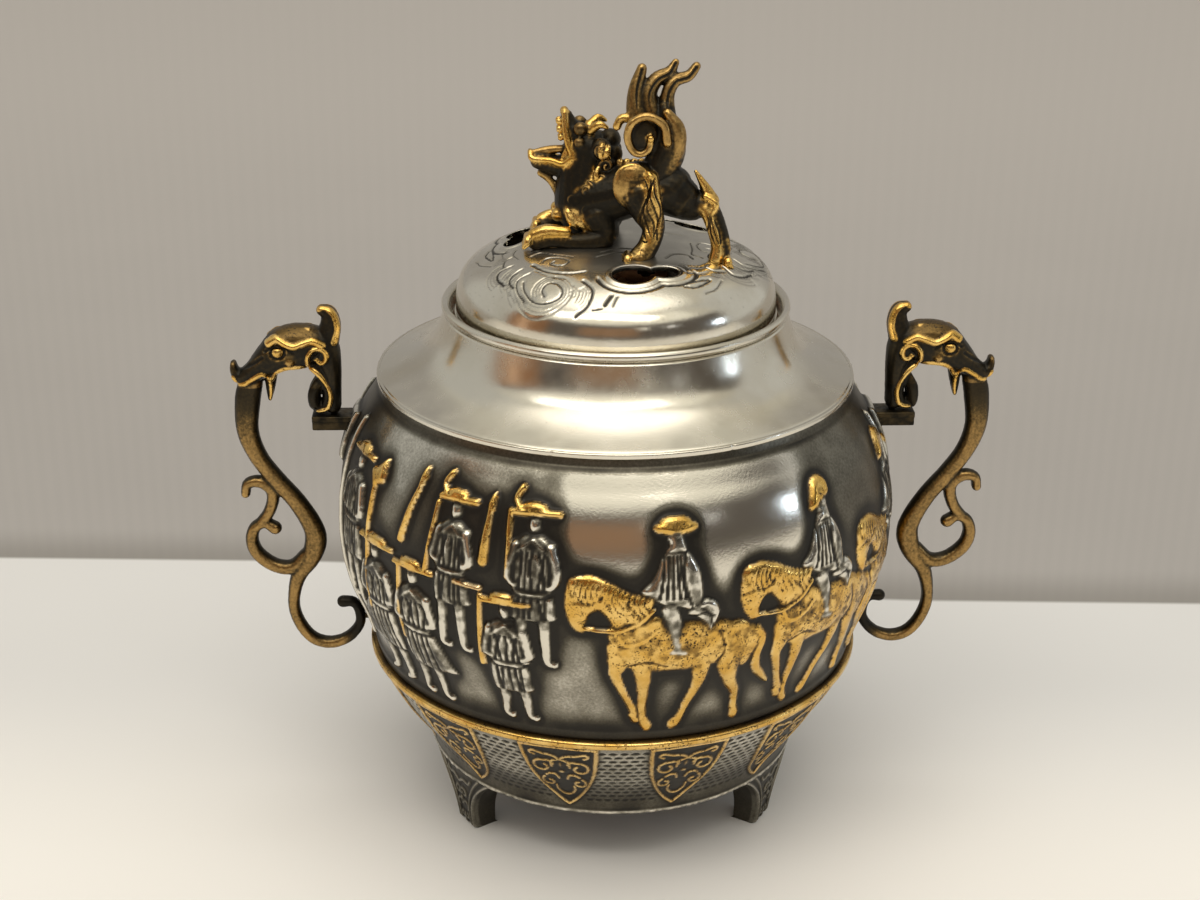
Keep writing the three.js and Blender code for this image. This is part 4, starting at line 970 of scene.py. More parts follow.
def foot_relief(across, up):
    """Carving on a foot's outer face: fluted border lines round a scroll."""
    relief = Relief(across, up)
    for share, half in ((0.93, 0.55), (0.68, 0.35)):
        edge = [(share * foot_half_width(z), z) for z in (0.6, 4, 8, 12, 15.5, 18, 19.8)]
        for side in both_sides(widen(edge, half), 0):
            relief.stroke(side, 0.7)
    for scroll in (curl((1.5, 11.6), 1.9, 200, -1.15, 0.25, 14), curl((1.3, 3.4), 1.3, 160, 0.9, 0.3),
                   [(0, 7.2), (1.3, 8.6), (2.9, 7.6), (2.6, 5.8)],
                   [(0, 15.2), (2.4, 16.6), (5.2, 16.2), (6.4, 17.6)]):
        for side in both_sides(widen(scroll, 0.42), 0):
            relief.stroke(side, 0.6, smooth=3)
    relief.oval((0, 9.4), (0.8, 1.1), 0.75)
    relief.stroke([(0, 0.6, 0.6), (0, 2.2, 0.5)], 0.6)
    return relief


def foot_ring(z, carved, value):
    """One level of a foot as (angle, radius) points, and how bright each of them is."""
    half = foot_half_width(z)
    outer = 50 + 3.5 * z / FOOT_HEIGHT
    depth = 7.5 + 3 * z / FOOT_HEIGHT
    shares = np.linspace(-1, 1, len(carved))
    corner = 0.9 * np.clip((np.abs(shares) - 0.94) / 0.06, 0, 1) ** 2
    low = 0.8 * np.clip(1 - z / 1.4, 0, 1) ** 2
    radius = outer - 0.75 + carved - corner - low
    ring = list(zip(shares * half / FOOT_CIRCLE, radius))
    bright = list(0.15 + 1.3 * value)
    for i in range(1, FOOT_SIDE):
        ring.append((half / FOOT_CIRCLE, radius[-1] - i / FOOT_SIDE * (depth - 1)))
        bright.append(0.16 if i > 2 else 0.4)
    for share in 1 - 2 * np.arange(FOOT_INNER) / (FOOT_INNER - 1):
        ring.append((share * half / FOOT_CIRCLE, outer - depth))
        bright.append(0.1)
    for i in range(FOOT_SIDE - 1, 0, -1):
        ring.append((-half / FOOT_CIRCLE, radius[0] - i / FOOT_SIDE * (depth - 1)))
        bright.append(0.16 if i > 2 else 0.4)
    return ring, bright


def foot_piece(place, turn):
    """A foot that flares up to the band, carved on its outer face."""
    levels = np.linspace(0, FOOT_HEIGHT, FOOT_LEVELS)
    across = np.linspace(-FOOT_TOP, FOOT_TOP, 180)
    height = blur(foot_relief(across, levels).height, 0.8, around=False)
    edge = height - blur(height, 3, around=False)
    points = []
    brights = []
    for z, carved, value in zip(levels, height, edge):
        spots = np.linspace(-1, 1, FOOT_FACE) * foot_half_width(z)
        ring, bright = foot_ring(z, np.interp(spots, across, carved), np.interp(spots, across, value))
        points += [(r * math.sin(angle), -r * math.cos(angle), z) for angle, r in ring]
        brights += bright
    piece = make_piece(f"carved_foot_{place}", turn_points(np.array(points), turn),
                       capped_faces(len(levels), len(ring)), "vessel", f"foot_{place}",
                       relief_metal)
    store(piece.data, bright=np.clip(np.array(brights), 0, 1), gilt=np.zeros(len(points)))


# Collar with its edge wire, the bezel in the bowl's mouth and the rim
def collar_pieces():
    line = natural_line([(64.9, 133.1), (57.6, 135.9), (52.3, 139.3), (49.2, 144.3),
                         (47.2, 149.95)], 0.8)
    line = np.vstack([[(65.7, 132.7)], line])
    inner = line - square_to(line) * 1.1
    turned_piece("collar_sweep", np.vstack([line, inner[::-1]]), "vessel", "collar",
                 silver, columns=480, wobble=0.06, seed=11)
    wire = rounded([(65.0, 131.35), (66.25, 131.35), (66.25, 132.9), (65.0, 132.9)], 0.5)
    degrees = np.degrees(azimuths(900))[None, :]
    joint = 0.5 * np.exp(-((degrees + 17) / 0.22) ** 2) + 0.3 * np.exp(-((degrees - 24) / 0.3) ** 2)
    radius = wire[:, :1] - joint * between(wire[:, :1], 65.6, 66.2)
    radius = radius + 0.03 * noise_field(radius.shape, 6, 12)
    ring_piece("collar_edge", radius, wire[:, 1:], "vessel", "collar_edge_wire", silver)
    bezel = rounded([(61, 125.3), (62.2, 125.3), (62.2, 133.1), (61, 133.1)], 0.3)
    turned_piece("mouth_bezel", bezel, "vessel", "collar_bezel", silver)
    rim = rounded([(42.65, 146.15, 0.1), (46.1, 146.15, 0.1), (46.2, 149.9, 0.2),
                   (47.3, 150.1, 0.7), (48, 151, 0.8), (47.9, 152.2, 0.9), (46.9, 152.85, 0.9),
                   (45.4, 151.6, 0.7), (45.4, 147.3, 0.1), (42.65, 147.3, 0.1)], 0.6, 6)
    turned_piece("collar_rim_ring", rim, "vessel", "collar_rim", silver,
                 columns=480, wobble=0.04, seed=13)


# Lid: a pierced dome engraved with clouds, and its flange
DOME_RADIUS = 44
DOME_CROWN = 19
DOME_BOTTOM = 149.7
CROWN_BOTTOM = 151
DOME_SQUARE = 2.8
CROWN_TOP = 170
DOME_WALL = 1.4
AXIS_GAP = 0.4
HOLE_CIRCLE = 27.5
HOLE_TURNS = [math.radians(13 + 120 * hole) for hole in range(3)]
CUT_HEIGHTS = (150, 176)
HOLE_LOBES = ((-3.2, 0, 5.8, 4.5), (5.2, 0, 4.2, 2.8))


def hole_distance(u, v):
    """Distance outside a two-lobed smoke hole, in the hole's own directions."""
    away = FAR
    for x, y, across, along in HOLE_LOBES:
        share = np.hypot((u - x) / across, (v - y) / along)
        away = np.minimum(away, (share - 1) * min(across, along))
    return away


def beside(path, shift):
    """The same line, moved to its left."""
    along = np.gradient(path, axis=0)
    along /= np.linalg.norm(along, axis=1)[:, None]
    return path + shift * np.stack([-along[:, 1], along[:, 0]], axis=1)


# Engraved lines near one smoke hole: (half width, depth) and then (u, v) points,
# where u runs along the hole and v outwards from the axis of the lid
CLOUDS = [
    (0.45, 0.4, (-30.4, 18.5), (-31, 22), (-30, 26.5), (-27, 29.4), (-23.6, 29.8), (-22.3, 27.4),
     (-22.9, 24.6), (-25, 23.2), (-27, 24.8), (-27, 27.2)),
    (0.4, 0.4, (-28, 16), (-31.6, 16.8), (-32.6, 21), (-31.8, 25)),
    (0.5, 0.4, (-29.2, 12.4), (-32.4, 13.6), (-33.6, 16), (-33.2, 18.6)),
    (0.6, 0.45, (-31, 8.6), (-34.6, 8.6), (-35.8, 11.6), (-35, 15.6)),
    (0.5, 0.35, (-29.6, 3), (-32, 4), (-33.2, 7)),
    (0.55, 0.45, (-16.4, 26.6), (-15.2, 31), (-17.6, 35.2), (-21, 36)),
    (0.35, 0.22, (-19.4, 26.8), (-18.6, 30.4), (-20.4, 33)),
    (0.75, 0.45, (-13.4, 36.6), (-11, 34.4)),
    (0.4, 0.4, (-16.8, 36.6), (-14.2, 37.2)),
    (0.4, 0.35, (-9.6, 35), (-11.6, 37.6)),
    (0.4, 0.35, (-24, 12.2), (-22, 10.4), (-18.6, 12), (-17.2, 15), (-19.6, 16.8), (-22, 14.6),
     (-20.8, 13.2)),
    (0.55, 0.45, (-26.4, 12), (-24.8, 16.4), (-22, 19.8), (-18.4, 22), (-14.8, 22.6)),
    (0.4, 0.35, (-25.6, 6.6), (-22.6, 5.6), (-20, 8.6), (-15.6, 12.6)),
    (0.35, 0.25, (-26.6, 15.4), (-24.4, 20), (-20.6, 23.4)),
    (0.5, 0.4, (7.4, 33), (11.4, 31.6), (17, 30), (12.4, 33.4), (8.8, 33.6)),
    (0.4, 0.3, (12, 27.4), (15.4, 27.8), (18.6, 26)),
    (0.4, 0.3, (12.8, 24.6), (16.2, 24.4), (19.6, 22)),
    (0.4, 0.3, (14, 35.4), (17.6, 33.2), (20.4, 29.4)),
    (0.4, 0.3, (-8, 12), (-3, 10.4), (2, 12.2), (5, 15.6), (2, 18)),
    (0.35, 0.25, (-10, 15), (-4, 13.4), (1, 15.2)),
    (0.4, 0.3, (8, 19.6), (11, 17), (14.4, 17.4), (15.4, 20)),
]
ECHOED = 7
ECHO_GAP = 0.85
ARC_MIDDLE = (-24, 20)


def cloud_lines():
    """All engraved lines near one smoke hole, as (path, half width, depth)."""
    lines = [(spline(points, 4), half, deep) for half, deep, *points in CLOUDS]
    for k in range(7):
        reach = 9.6 + 0.35 * k
        turns = math.radians(14 + 12 * k) + 0.14 * np.linspace(-0.5, 0.5, 6) + 2.3
        arc = reach * np.stack([np.cos(turns), np.sin(turns)], axis=1)
        lines.append((arc + ARC_MIDDLE, 0.3, 0.22))
    for path, _, _ in lines[:ECHOED]:
        for k in (1, 2, 3):
            lines.append((beside(path[2:-2], ECHO_GAP * k), 0.36, 0.2))
    return [(path, 0.8 * half, deep) for path, half, deep in lines]


def near_lines(points, lines):
    """Depth of the engraving at (x, y) points."""
    depth = np.zeros(len(points))
    for path, half, deep in lines:
        middle = (path.min(0) + path.max(0)) / 2
        reach = np.abs(path - middle).max() * 1.5 + 1
        close = np.nonzero(np.hypot(*(points - middle).T) < reach + 1)[0]
        if not len(close):
            continue
        away = np.full(len(close), FAR)
        for start, end in zip(path[:-1], path[1:]):
            away = np.minimum(away, to_segment(*points[close].T, start, end)[1])
        cut = deep * np.clip(1 - (away / half) ** 2, 0, 1)
        depth[close] = np.maximum(depth[close], cut)
    return depth


def dome_height(radius):
    inside = np.clip(1 - (radius / DOME_RADIUS) ** DOME_SQUARE, 0, 1)
    return CROWN_BOTTOM + DOME_CROWN * inside ** (1 / DOME_SQUARE)


def dome_line(shrink, count):
    """The arch of the dome from its foot to the axis, as (radius, height)."""
    angle = np.linspace(0, math.pi / 2, count)
    return np.stack([(DOME_RADIUS - shrink) * np.cos(angle).clip(0) ** (2 / DOME_SQUARE),
                     CROWN_BOTTOM + (DOME_CROWN - shrink) * np.sin(angle) ** (2 / DOME_SQUARE)],
                    axis=1)


def hole_cutter():
    """One closed solid that cuts all three smoke holes."""
    outline = []
    reach = np.linspace(0, 12, 601)
    for angle in np.linspace(0, TURN, 96, endpoint=False):
        way = np.array([math.cos(angle), math.sin(angle)])
        away = hole_distance(reach * way[0], reach * way[1])
        outline.append(reach[np.nonzero(away > 0)[0][0]] * way)
    vertices = []
    faces = []
    for turn in HOLE_TURNS:
        first = len(vertices)
        for z in CUT_HEIGHTS:
            for u, v in outline:
                out = HOLE_CIRCLE + v
                vertices.append((u * math.cos(turn) + out * math.sin(turn),
                                 u * math.sin(turn) - out * math.cos(turn), z))
        low = [first + i for i in range(len(outline))]
        high = [i + len(outline) for i in low]
        faces += [low, high[::-1]]
        faces += zip(low, high, high[1:] + high[:1], low[1:] + low[:1])
    mesh = bpy.data.meshes.new("hole_cutter")
    mesh.from_pydata((np.array(vertices) * MM).tolist(), [], faces)
    cutter = bpy.data.objects.new("hole_cutter", mesh)
    bpy.context.scene.collection.objects.link(cutter)
    return cutter


def dome_piece():
    columns = 720
    crown = natural_line(dome_line(0, 60), 0.42)
    side = [(DOME_RADIUS - 0.25, DOME_BOTTOM), (DOME_RADIUS, DOME_BOTTOM + 0.3)]
    outer = np.vstack([side, crown[crown[:, 0] > AXIS_GAP]])
    inner = dome_line(DOME_WALL, 26)[::-1]
    inner = np.vstack([inner[inner[:, 0] > AXIS_GAP], [(DOME_RADIUS - DOME_WALL, DOME_BOTTOM)]])
    section = np.vstack([outer, inner])
    points = around_axis(section[:, :1], section[:, 1:], columns).reshape(-1, 3)
    top = len(points)
    points = np.vstack([points, [(0, 0, CROWN_TOP), (0, 0, CROWN_TOP - DOME_WALL)]])

    # A fan of faces closes each skin at the axis, in place of the row of faces between them
    faces = ring_faces(len(section), columns, True)
    last = (len(outer) - 1) * columns
    faces = faces[:last] + faces[last + columns:]
    for k in range(columns):
        after = (k + 1) % columns
        faces.append([last + k, last + after, top])
        faces.append([last + columns + after, last + columns + k, top + 1])
    piece = make_piece("engraved_dome", points, faces, "lid", "lid_dome", dome_silver)
    cutter = hole_cutter()
    cut = piece.modifiers.new("holes", "BOOLEAN")
    cut.operation = "DIFFERENCE"
    cut.solver = "EXACT"
    cut.object = cutter
    view = bpy.context.evaluated_depsgraph_get()
    mesh = bpy.data.meshes.new_from_object(piece.evaluated_get(view))
    piece.modifiers.clear()
    piece.data = mesh
    bpy.data.objects.remove(cutter)
    engrave_dome(mesh)


def engrave_dome(mesh):
    """Cuts the lines into the crown, raises the rims of the holes and stores the tones."""
    count = len(mesh.vertices)
    points = np.empty(count * 3)
    mesh.vertices.foreach_get("co", points)
    points = points.reshape(-1, 3) / MM
    radius = np.hypot(points[:, 0], points[:, 1])
    crown = (np.abs(points[:, 2] - dome_height(radius)) < 0.3) & (radius < DOME_RADIUS - 0.6)
    depth = np.zeros(count)
    rim = np.zeros(count)
    contour = np.zeros(count)
    lines = cloud_lines()
    for turn in HOLE_TURNS:
        u = points[:, 0] * math.cos(turn) + points[:, 1] * math.sin(turn)
        v = points[:, 0] * math.sin(turn) - points[:, 1] * math.cos(turn)
        away = hole_distance(u, v - HOLE_CIRCLE)
        rim = np.maximum(rim, np.clip(1 - ((away - 0.55) / 0.7) ** 2, 0, 1))
        groove = np.clip(1 - ((away - 2.8) / 0.5) ** 2, 0, 1) * between(v, 25.5, 28)
        contour = np.maximum(contour, groove)
        near = np.nonzero(crown & (away > 0.6))[0]
        cut = near_lines(np.stack([u, v], axis=1)[near], lines)
        depth[near] = np.maximum(depth[near], cut)
    depth = np.maximum(depth, 0.4 * contour) * crown
    points[:, 2] += (0.35 * rim - depth - 0.35 * between(DOME_RADIUS - radius, 1, 9)) * crown
    mesh.vertices.foreach_set("co", (points * MM).ravel())
    tarnish = between(-radius, -33, -20)
    store(mesh, cut=np.clip(depth / 0.35, 0, 1), tarnish=tarnish * crown)
    mesh.update()


def lid_flange_piece():
    flange = rounded([(39, 143.1, 0.2), (40.1, 143.1, 0.3), (40.2, 148.5, 0), (44.5, 148.5, 0.3),
                      (44.5, 149.65, 0.3), (39, 149.65, 0)], 0.2)
    turned_piece("lid_ring", flange, "lid", "lid_flange", silver, columns=360,
                 wobble=0.03, seed=14)


# Ash liner of hammered copper
def liner_piece():
    outer = natural_line([(0.01, 76.5), (34, 76.5), (39.6, 78.4), (42, 84), (42, 146.9)], 1.1)
    inner = natural_line([(40.8, 148.4), (40.8, 84.4), (38.6, 79.6), (33.6, 77.8), (0.01, 77.7)],
                         1.1)
    section = np.vstack([outer, [(42, 147.3), (44.7, 147.35), (44.9, 147.9), (44.7, 148.45)],
                         inner])
    dents = noise_field((len(section), 300), 3.2, 41)
    radius = section[:, :1] + 0.25 * (dents - 0.6) * between(section[:, :1], 10, 30) \
        * between(146 - section[:, 1:], 0, 4)
    ring_piece("hammered_liner", radius, section[:, 1:], "liner", "ash_liner", copper)


# Cast pieces: bars and balls that are joined into one skin
class Casting:
    """Gathers bars and balls, and makes one smooth skin of them with gilt and dark places."""

    def __init__(self):
        self.points = []
        self.faces = []
        self.tints = []

    def add(self, points, faces, gilt, bright):
        first = len(self.tints)
        self.points.extend(np.asarray(points).tolist())
        self.faces.extend([[first + i for i in face] for face in faces])
        self.tints.extend([(gilt, bright)] * len(points))

    def bar(self, stations, gilt=0.0, bright=0.4, flat=False, power=2.2, sides=20):
        """A bar with round ends along stations (x, y, height, half width, depth)."""
        path = spline([(*station, station[3])[:5] for station in stations], 5)
        along = np.gradient(path[:, :3], axis=0)
        along /= np.linalg.norm(along, axis=1)[:, None]
        rings = [(p[:3], a, p[3], p[4]) for p, a in zip(path, along)]
        for lean in (28, 55, 80):
            lift, shrink = math.sin(math.radians(lean)), math.cos(math.radians(lean))
            for place, sign in ((0, -1), (-1, 1)):
                p, a = path[place], along[place]
                cap = (p[:3] + sign * a * p[3] * lift, a, p[3] * shrink, p[4] * shrink)
                rings.insert(0 if sign < 0 else len(rings), cap)
        angles = np.arange(sides) * TURN / sides
        wide = np.sign(np.cos(angles)) * np.abs(np.cos(angles)) ** (2 / power)
        deep = np.sign(np.sin(angles)) * np.abs(np.sin(angles)) ** (2 / power)
        first = along[0]
        across = np.array((0.0, 1, 0)) if flat else np.array((first[2], first[0], first[1]))
        points = []
        for centre, direction, half, depth in rings:
            if not flat:
                across = across - direction * (across @ direction)
                across /= np.linalg.norm(across)
            side = np.cross(across, direction)
            side /= np.linalg.norm(side)
            points.append(centre + np.outer(wide * half, side) + np.outer(deep * depth, across))
        self.add(np.vstack(points), capped_faces(len(rings), sides), gilt, bright)

    def ball(self, at, size, gilt=0.0, bright=0.4):
        rows, columns = 14, 20
        lean = np.linspace(0.04, math.pi - 0.04, rows)[:, None]
        angle = (np.arange(columns) * TURN / columns)[None, :]
        unit = np.stack([np.sin(lean) * np.cos(angle), np.sin(lean) * np.sin(angle),
                         np.cos(lean) + 0 * angle], axis=-1).reshape(-1, 3)
        faces = [face[::-1] for face in capped_faces(rows, columns)]
        self.add(unit * size + at, faces, gilt, bright)


class Skin:
    """The joined skin of a casting, with its points, normals and values."""

    def __init__(self, casting, rounds):
        mesh = bpy.data.meshes.new("casting")
        mesh.from_pydata(casting.points, [], casting.faces)
        piece = bpy.data.objects.new("casting", mesh)
        bpy.context.scene.collection.objects.link(piece)
        remesh = piece.modifiers.new("skin", "REMESH")
        remesh.mode = "VOXEL"
        remesh.voxel_size = VOXEL
        view = bpy.context.evaluated_depsgraph_get()
        whole = bpy.data.meshes.new_from_object(piece.evaluated_get(view))
        bpy.data.objects.remove(piece)
        self.points = self.read(whole.vertices, "co", 3)
        self.faces = [list(face.vertices) for face in whole.polygons]
        edges = np.empty(len(whole.edges) * 2, int)
        whole.edges.foreach_get("vertices", edges)
        self.edges = edges.reshape(-1, 2)
        self.links = np.bincount(edges, minlength=len(self.points))[:, None]
        self.mesh = whole
        tree = KDTree(len(casting.points))
        for i, point in enumerate(casting.points):
            tree.insert(point, i)
        tree.balance()
        nearest = [tree.find(point)[1] for point in self.points.tolist()]
        tints = np.array(casting.tints)[nearest]
        tints = self.soften(tints, 5)
        self.gilt = tints[:, 0]
        self.bright = tints[:, 1]
        self.points = self.soften(self.points, rounds)
        self.measure()

    @staticmethod
    def read(items, name, size):
        values = np.empty(len(items) * size)
        items.foreach_get(name, values)
        return values.reshape(-1, size)

    def soften(self, values, rounds):
        """Averages each point's values with its neighbours', a number of times."""
        start, end = self.edges.T
        for _ in range(rounds):
            total = np.zeros_like(values)
            for k in range(values.shape[1]):
                total[:, k] = np.bincount(start, values[end, k], len(values)) \
                    + np.bincount(end, values[start, k], len(values))
            values = 0.5 * values + 0.5 * total / self.links
        return values

    def measure(self):
        self.mesh.vertices.foreach_set("co", self.points.ravel())
        self.mesh.update()
        self.normals = self.read(self.mesh.vertex_normals, "vector", 3)

    def carve(self, path, half, change, gilt, bright, depth_weight=0.25):
        """A ridge or groove near a path of (x, y, height). Distance in depth counts little."""
        path = spline(path, 5) if len(path) > 2 else np.array(path, float)
        weight = np.array((1, depth_weight, 1))
        low = path.min(0) - half / weight
        high = path.max(0) + half / weight
        near = np.nonzero(((self.points > low) & (self.points < high)).all(axis=1))[0]
        if not len(near):
            return
        spots = self.points[near]
        away = np.full(len(near), FAR)
        for start, end in zip(path[:-1], path[1:]):
            run = (end - start) * weight
            share = np.clip(((spots - start) * weight) @ run / (run @ run + TINY), 0, 1)
            gap = (spots - start) * weight - share[:, None] * run
            away = np.minimum(away, np.linalg.norm(gap, axis=1))
        bump = np.clip(1 - (away / half) ** 2, 0, 1)
        facing = np.sign(path[:, 1].mean()) * self.normals[near, 1]
        bump *= between(facing, -0.1, 0.4)
        self.points[near] += self.normals[near] * (change * bump)[:, None]
        self.gilt[near] += (gilt - self.gilt[near]) * smoothstep(2 * bump)
        self.bright[near] += (bright - self.bright[near]) * smoothstep(2 * bump)

    def wear(self, strength, roughness, seed):
        """Rubs the raised places bright and leaves hollows dark, with a fine cast grain."""
        grain = np.random.default_rng(seed).standard_normal((len(self.points), 1))
        grain = self.soften(grain, 4)[:, 0]
        self.points += self.normals * (roughness * grain / np.abs(grain).max())[:, None]
        self.measure()
        raised = ((self.points - self.soften(self.points, 12)) * self.normals).sum(axis=1)
        self.bright = np.clip(self.bright + strength * raised, 0, 1)

    def piece(self, name, turn, body, node, slot):
        made = make_piece(name, turn_points(self.points, turn), self.faces, body, node,
                          bronze_metal)
        store(made.data, bright=self.bright, gilt=np.clip(self.gilt, 0, 1))


# Handles, drawn from the near side: (distance from the axis, height, half width, depth)
HANDLE_BARS = {
    "bar": [
        (101, 128.5, 3.4, 3), (102.2, 123, 3.6, 3), (102.7, 114, 3.1, 2.8),
        (100.1, 106, 2.6, 2.7), (95.4, 99, 2.5, 2.6), (90, 92, 2.6, 2.7), (86, 84.5, 2.9, 2.8),
        (85.3, 79.5, 3.2, 2.8), (87, 74.5, 2.9, 2.7), (90.6, 69, 2.3, 2.5), (92.3, 62.5, 1.8, 2.3),
        (92.2, 57, 1.7, 2.2), (90, 51.6, 1.7, 2.2), (86.6, 48, 1.7, 2.2), (81.8, 47, 1.7, 2.1),
        (76.9, 48.9, 1.6, 2), (73.7, 53, 1.5, 2), (73.6, 57.2, 1.5, 1.9), (75.3, 60, 1.4, 1.8),
        (78.4, 60.2, 1.7, 1.9),
    ],
    "lower scroll": [
        (87.6, 75.4, 2.4, 2.4), (92.3, 71.6, 2.1, 2.4), (97.4, 72.2, 2, 2.3),
        (101.9, 75.9, 2, 2.3), (103.4, 80.2, 1.9, 2.2), (102.3, 84.2, 1.7, 2.1),
        (99.4, 85.6, 1.5, 2), (96.6, 83.9, 1.9, 2.1),
    ],
    "upper scroll": [
        (104.4, 94.8, 1.4, 1.9), (103.6, 97.8, 1.5, 2), (100.2, 98.4, 1.8, 2.1),
        (97.2, 96.3, 1.9, 2.1), (96.8, 92.8, 1.8, 2.1), (98.3, 88.6, 1.7, 2.1),
        (100.8, 85.4, 1.6, 2),
    ],
}
HANDLE_HEAD = {
    "neck": [
        (78.4, 121.4, 2.2, 3.4), (78, 127, 2, 3.6), (78.5, 133, 2.8, 4), (80.6, 138.5, 4.6, 4.6),
        (85.5, 139.3, 5.9, 5.4), (91, 138.4, 6, 5.4), (95.6, 135.4, 4.4, 4.8),
        (100, 131.8, 2.9, 3.8), (103.6, 130.4, 1.9, 3), (105.2, 132, 1.3, 2.4),
        (105.5, 134, 0.9, 2),
    ],
    "crest": [(79.4, 141, 3.5, 3.8), (78.3, 145, 2.9, 3.2), (78.7, 148.3, 2.2, 2.7),
              (80.5, 149.3, 1.5, 2)],
    "fang": [(95.3, 131, 1.9, 2.6), (95.6, 127, 1.3, 2), (95.9, 123.6, 0.6, 1.2)],
    "beard": [(83, 133.4, 1.6, 3), (81.2, 131.4, 2, 3.2), (80, 128.5, 1.9, 3),
              (79.4, 125, 1.9, 3), (80.6, 121.6, 1.6, 2.8), (82.6, 121.2, 1.3, 2.6)],
}
# Ridges on the head's faces: (distance, height), with half width, rise, gilt and brightness
HEAD_LINES = [
    ([(95.2, 141), (93, 142.4), (90.6, 141.2), (88.2, 140.4), (85.6, 141.2), (83, 141.8),
      (80.4, 140.4)], 1.1, 0.9, 1, 0.8),
    ([(84.6, 134.9), (84.3, 137.8), (82.4, 139.6), (80, 138.8), (79.4, 136.6), (80.8, 135.2),
      (82.2, 136.4)], 0.75, 0.8, 0.9, 0.65),
    ([(105.6, 130.6), (104.4, 128.6), (101.9, 129.1), (99.2, 131), (97.2, 132), (95.6, 130),
      (95.2, 126.4), (95.8, 123)], 0.8, 0.6, 1, 0.65),
    ([(95.2, 129.6), (92.4, 133), (87.9, 134), (82.9, 132.4), (79.8, 128.4), (78.8, 124.8),
      (80, 121.4), (82.6, 120.4)], 0.8, 0.7, 0.9, 0.6),
    ([(82.4, 149.8), (79.6, 150.8), (76.9, 148.8), (76, 144.6), (77, 141)], 1.2, 0.2, 1, 0.7),
    ([(82.4, 137), (81.6, 137.8)], 0.7, -0.5, 0, 0.02),
    ([(88.4, 138.6), (90.6, 140), (93.6, 140.2), (96.2, 138.8)], 0.5, -0.5, 0, 0.02),
    ([(97, 137), (100.4, 134.6), (103, 133)], 0.6, -0.4, 0, 0.04),
    ([(84, 145), (87.6, 146.4), (91.6, 145.6)], 0.9, 0.3, 0.5, 0.4),
]
HANDLE_SHIFT = 0.25
SIDES = (("right", 0), ("left", 180))
BRACKET_START = 71
BRACKET_END = 84.55
BRACKET_ROUND = 0.8


def handle_pieces():
    casting = Casting()
    for group, bright, power in ((HANDLE_BARS, 0.29, 2.3), (HANDLE_HEAD, 0.01, 2.5)):
        for stations in group.values():
            places = [(x + HANDLE_SHIFT, 0, z, half, depth) for x, z, half, depth in stations]
            casting.bar(places, 0.0, bright, flat=True, power=power)
    for side in (-1, 1):
        casting.ball((92.7 + HANDLE_SHIFT, side * 4.9, 138.7), (1.5, 1.2, 1.5), 0.7, 0.5)
        casting.ball((89.5 + HANDLE_SHIFT, side * 4.9, 135.8), (1.3, 0.9, 1.3), 0.2, 0.25)
        leaf = [(82, 1.6, 129, 1), (83.4, 1.8, 126, 1.9), (83.6, 1.8, 122.6, 1.5),
                (83, 1.6, 120.9, 0.6)]
        places = [(x + HANDLE_SHIFT, side * y, z, half, 1.6) for x, y, z, half in leaf]
        casting.bar(places, 0, 0.02)
    skin = Skin(casting, 4)
    for side in (-1, 1):
        for line, half, rise, gilt, bright in HEAD_LINES:
            path = [(x + HANDLE_SHIFT, side * 4.2, z) for x, z in line]
            skin.carve(path, half, rise, gilt, 0.88 * bright, 0.2)
        ring = [(92.9 + 2 * math.cos(a), side * 4.6, 138.7 + 1.8 * math.sin(a))
                for a in np.linspace(0, TURN, 12)]
        skin.carve(ring, 0.5, -0.5, 0, 0.03, 0.2)
        skin.measure()
    skin.wear(strength=2, roughness=0.06, seed=52)
    shade_handle(skin)
    for side, turn in SIDES:
        skin.piece(f"cast_handle_{side}", turn, "vessel", f"handle_{side}", "bronze")


def shade_handle(skin):
    """The bars are lighter on their broad faces, from rubbing and from painted shade on their narrow
    sides, with painted shade under the head and near the bowl. The beast's brow keeps some gold.
    """
    reach, _, up = skin.points.T
    # Lighter on the broad faces: rubbing, with painted shade on the narrow sides
    rub_and_shade = 0.30 + 0.70 * between(np.abs(skin.normals[:, 1]), 0.35, 0.9)
    # Painted shade under the head, close to the bowl and on the end of the lower curl by the bowl
    rub_and_shade *= 1 - 0.7 * between(up, 112, 126)
    rub_and_shade *= 1 - 0.8 * between(-reach, -80, -75)
    rub_and_shade *= 1 - 0.9 * between(up, 49, 52) * between(-up, -64, -62) * between(-reach, -83, -80)
    skin.bright = np.where(up < 127.5, skin.bright * np.maximum(rub_and_shade, skin.gilt), skin.bright)
    brow = between(up, 139, 142) * between(reach, 80, 84) * between(-reach, -97, -93)
    skin.gilt = np.maximum(skin.gilt, 0.4 * brow)
    skin.bright = np.maximum(skin.bright, 0.18 * brow)


def bracket_piece(side, turn):
    """A stepped block with a rounded outer end that carries the upper end of a handle."""
    section = rounded([(-3.4, 114.95, 0.5), (3.4, 114.95, 0.5), (3.4, 117.4, 0.2),
                       (3.95, 117.6, 0.3), (3.95, 119.2, 0.6), (-3.95, 119.2, 0.6),
                       (-3.95, 117.6, 0.3), (-3.4, 117.4, 0.2)], 0.4, 5)
    straight = BRACKET_END - BRACKET_ROUND
    reach = np.append(np.linspace(BRACKET_START, straight, 22),
                      straight + BRACKET_ROUND * np.sin(np.linspace(0.3, math.pi / 2, 4)))
    past = np.clip((reach - straight) / BRACKET_ROUND, 0, 1)
    tuck = 1 - 0.06 * (1 - np.sqrt(1 - past**2))
    middle = section.mean(axis=0)
    points = []
    for x, share in zip(reach, tuck):
        points += [(x, y, z) for y, z in middle + (section - middle) * share]
    make_piece(f"worn_bracket_{side}", turn_points(np.array(points), turn),
               capped_faces(len(reach), len(section)), "vessel", f"handle_bracket_{side}",
               dark_bronze)


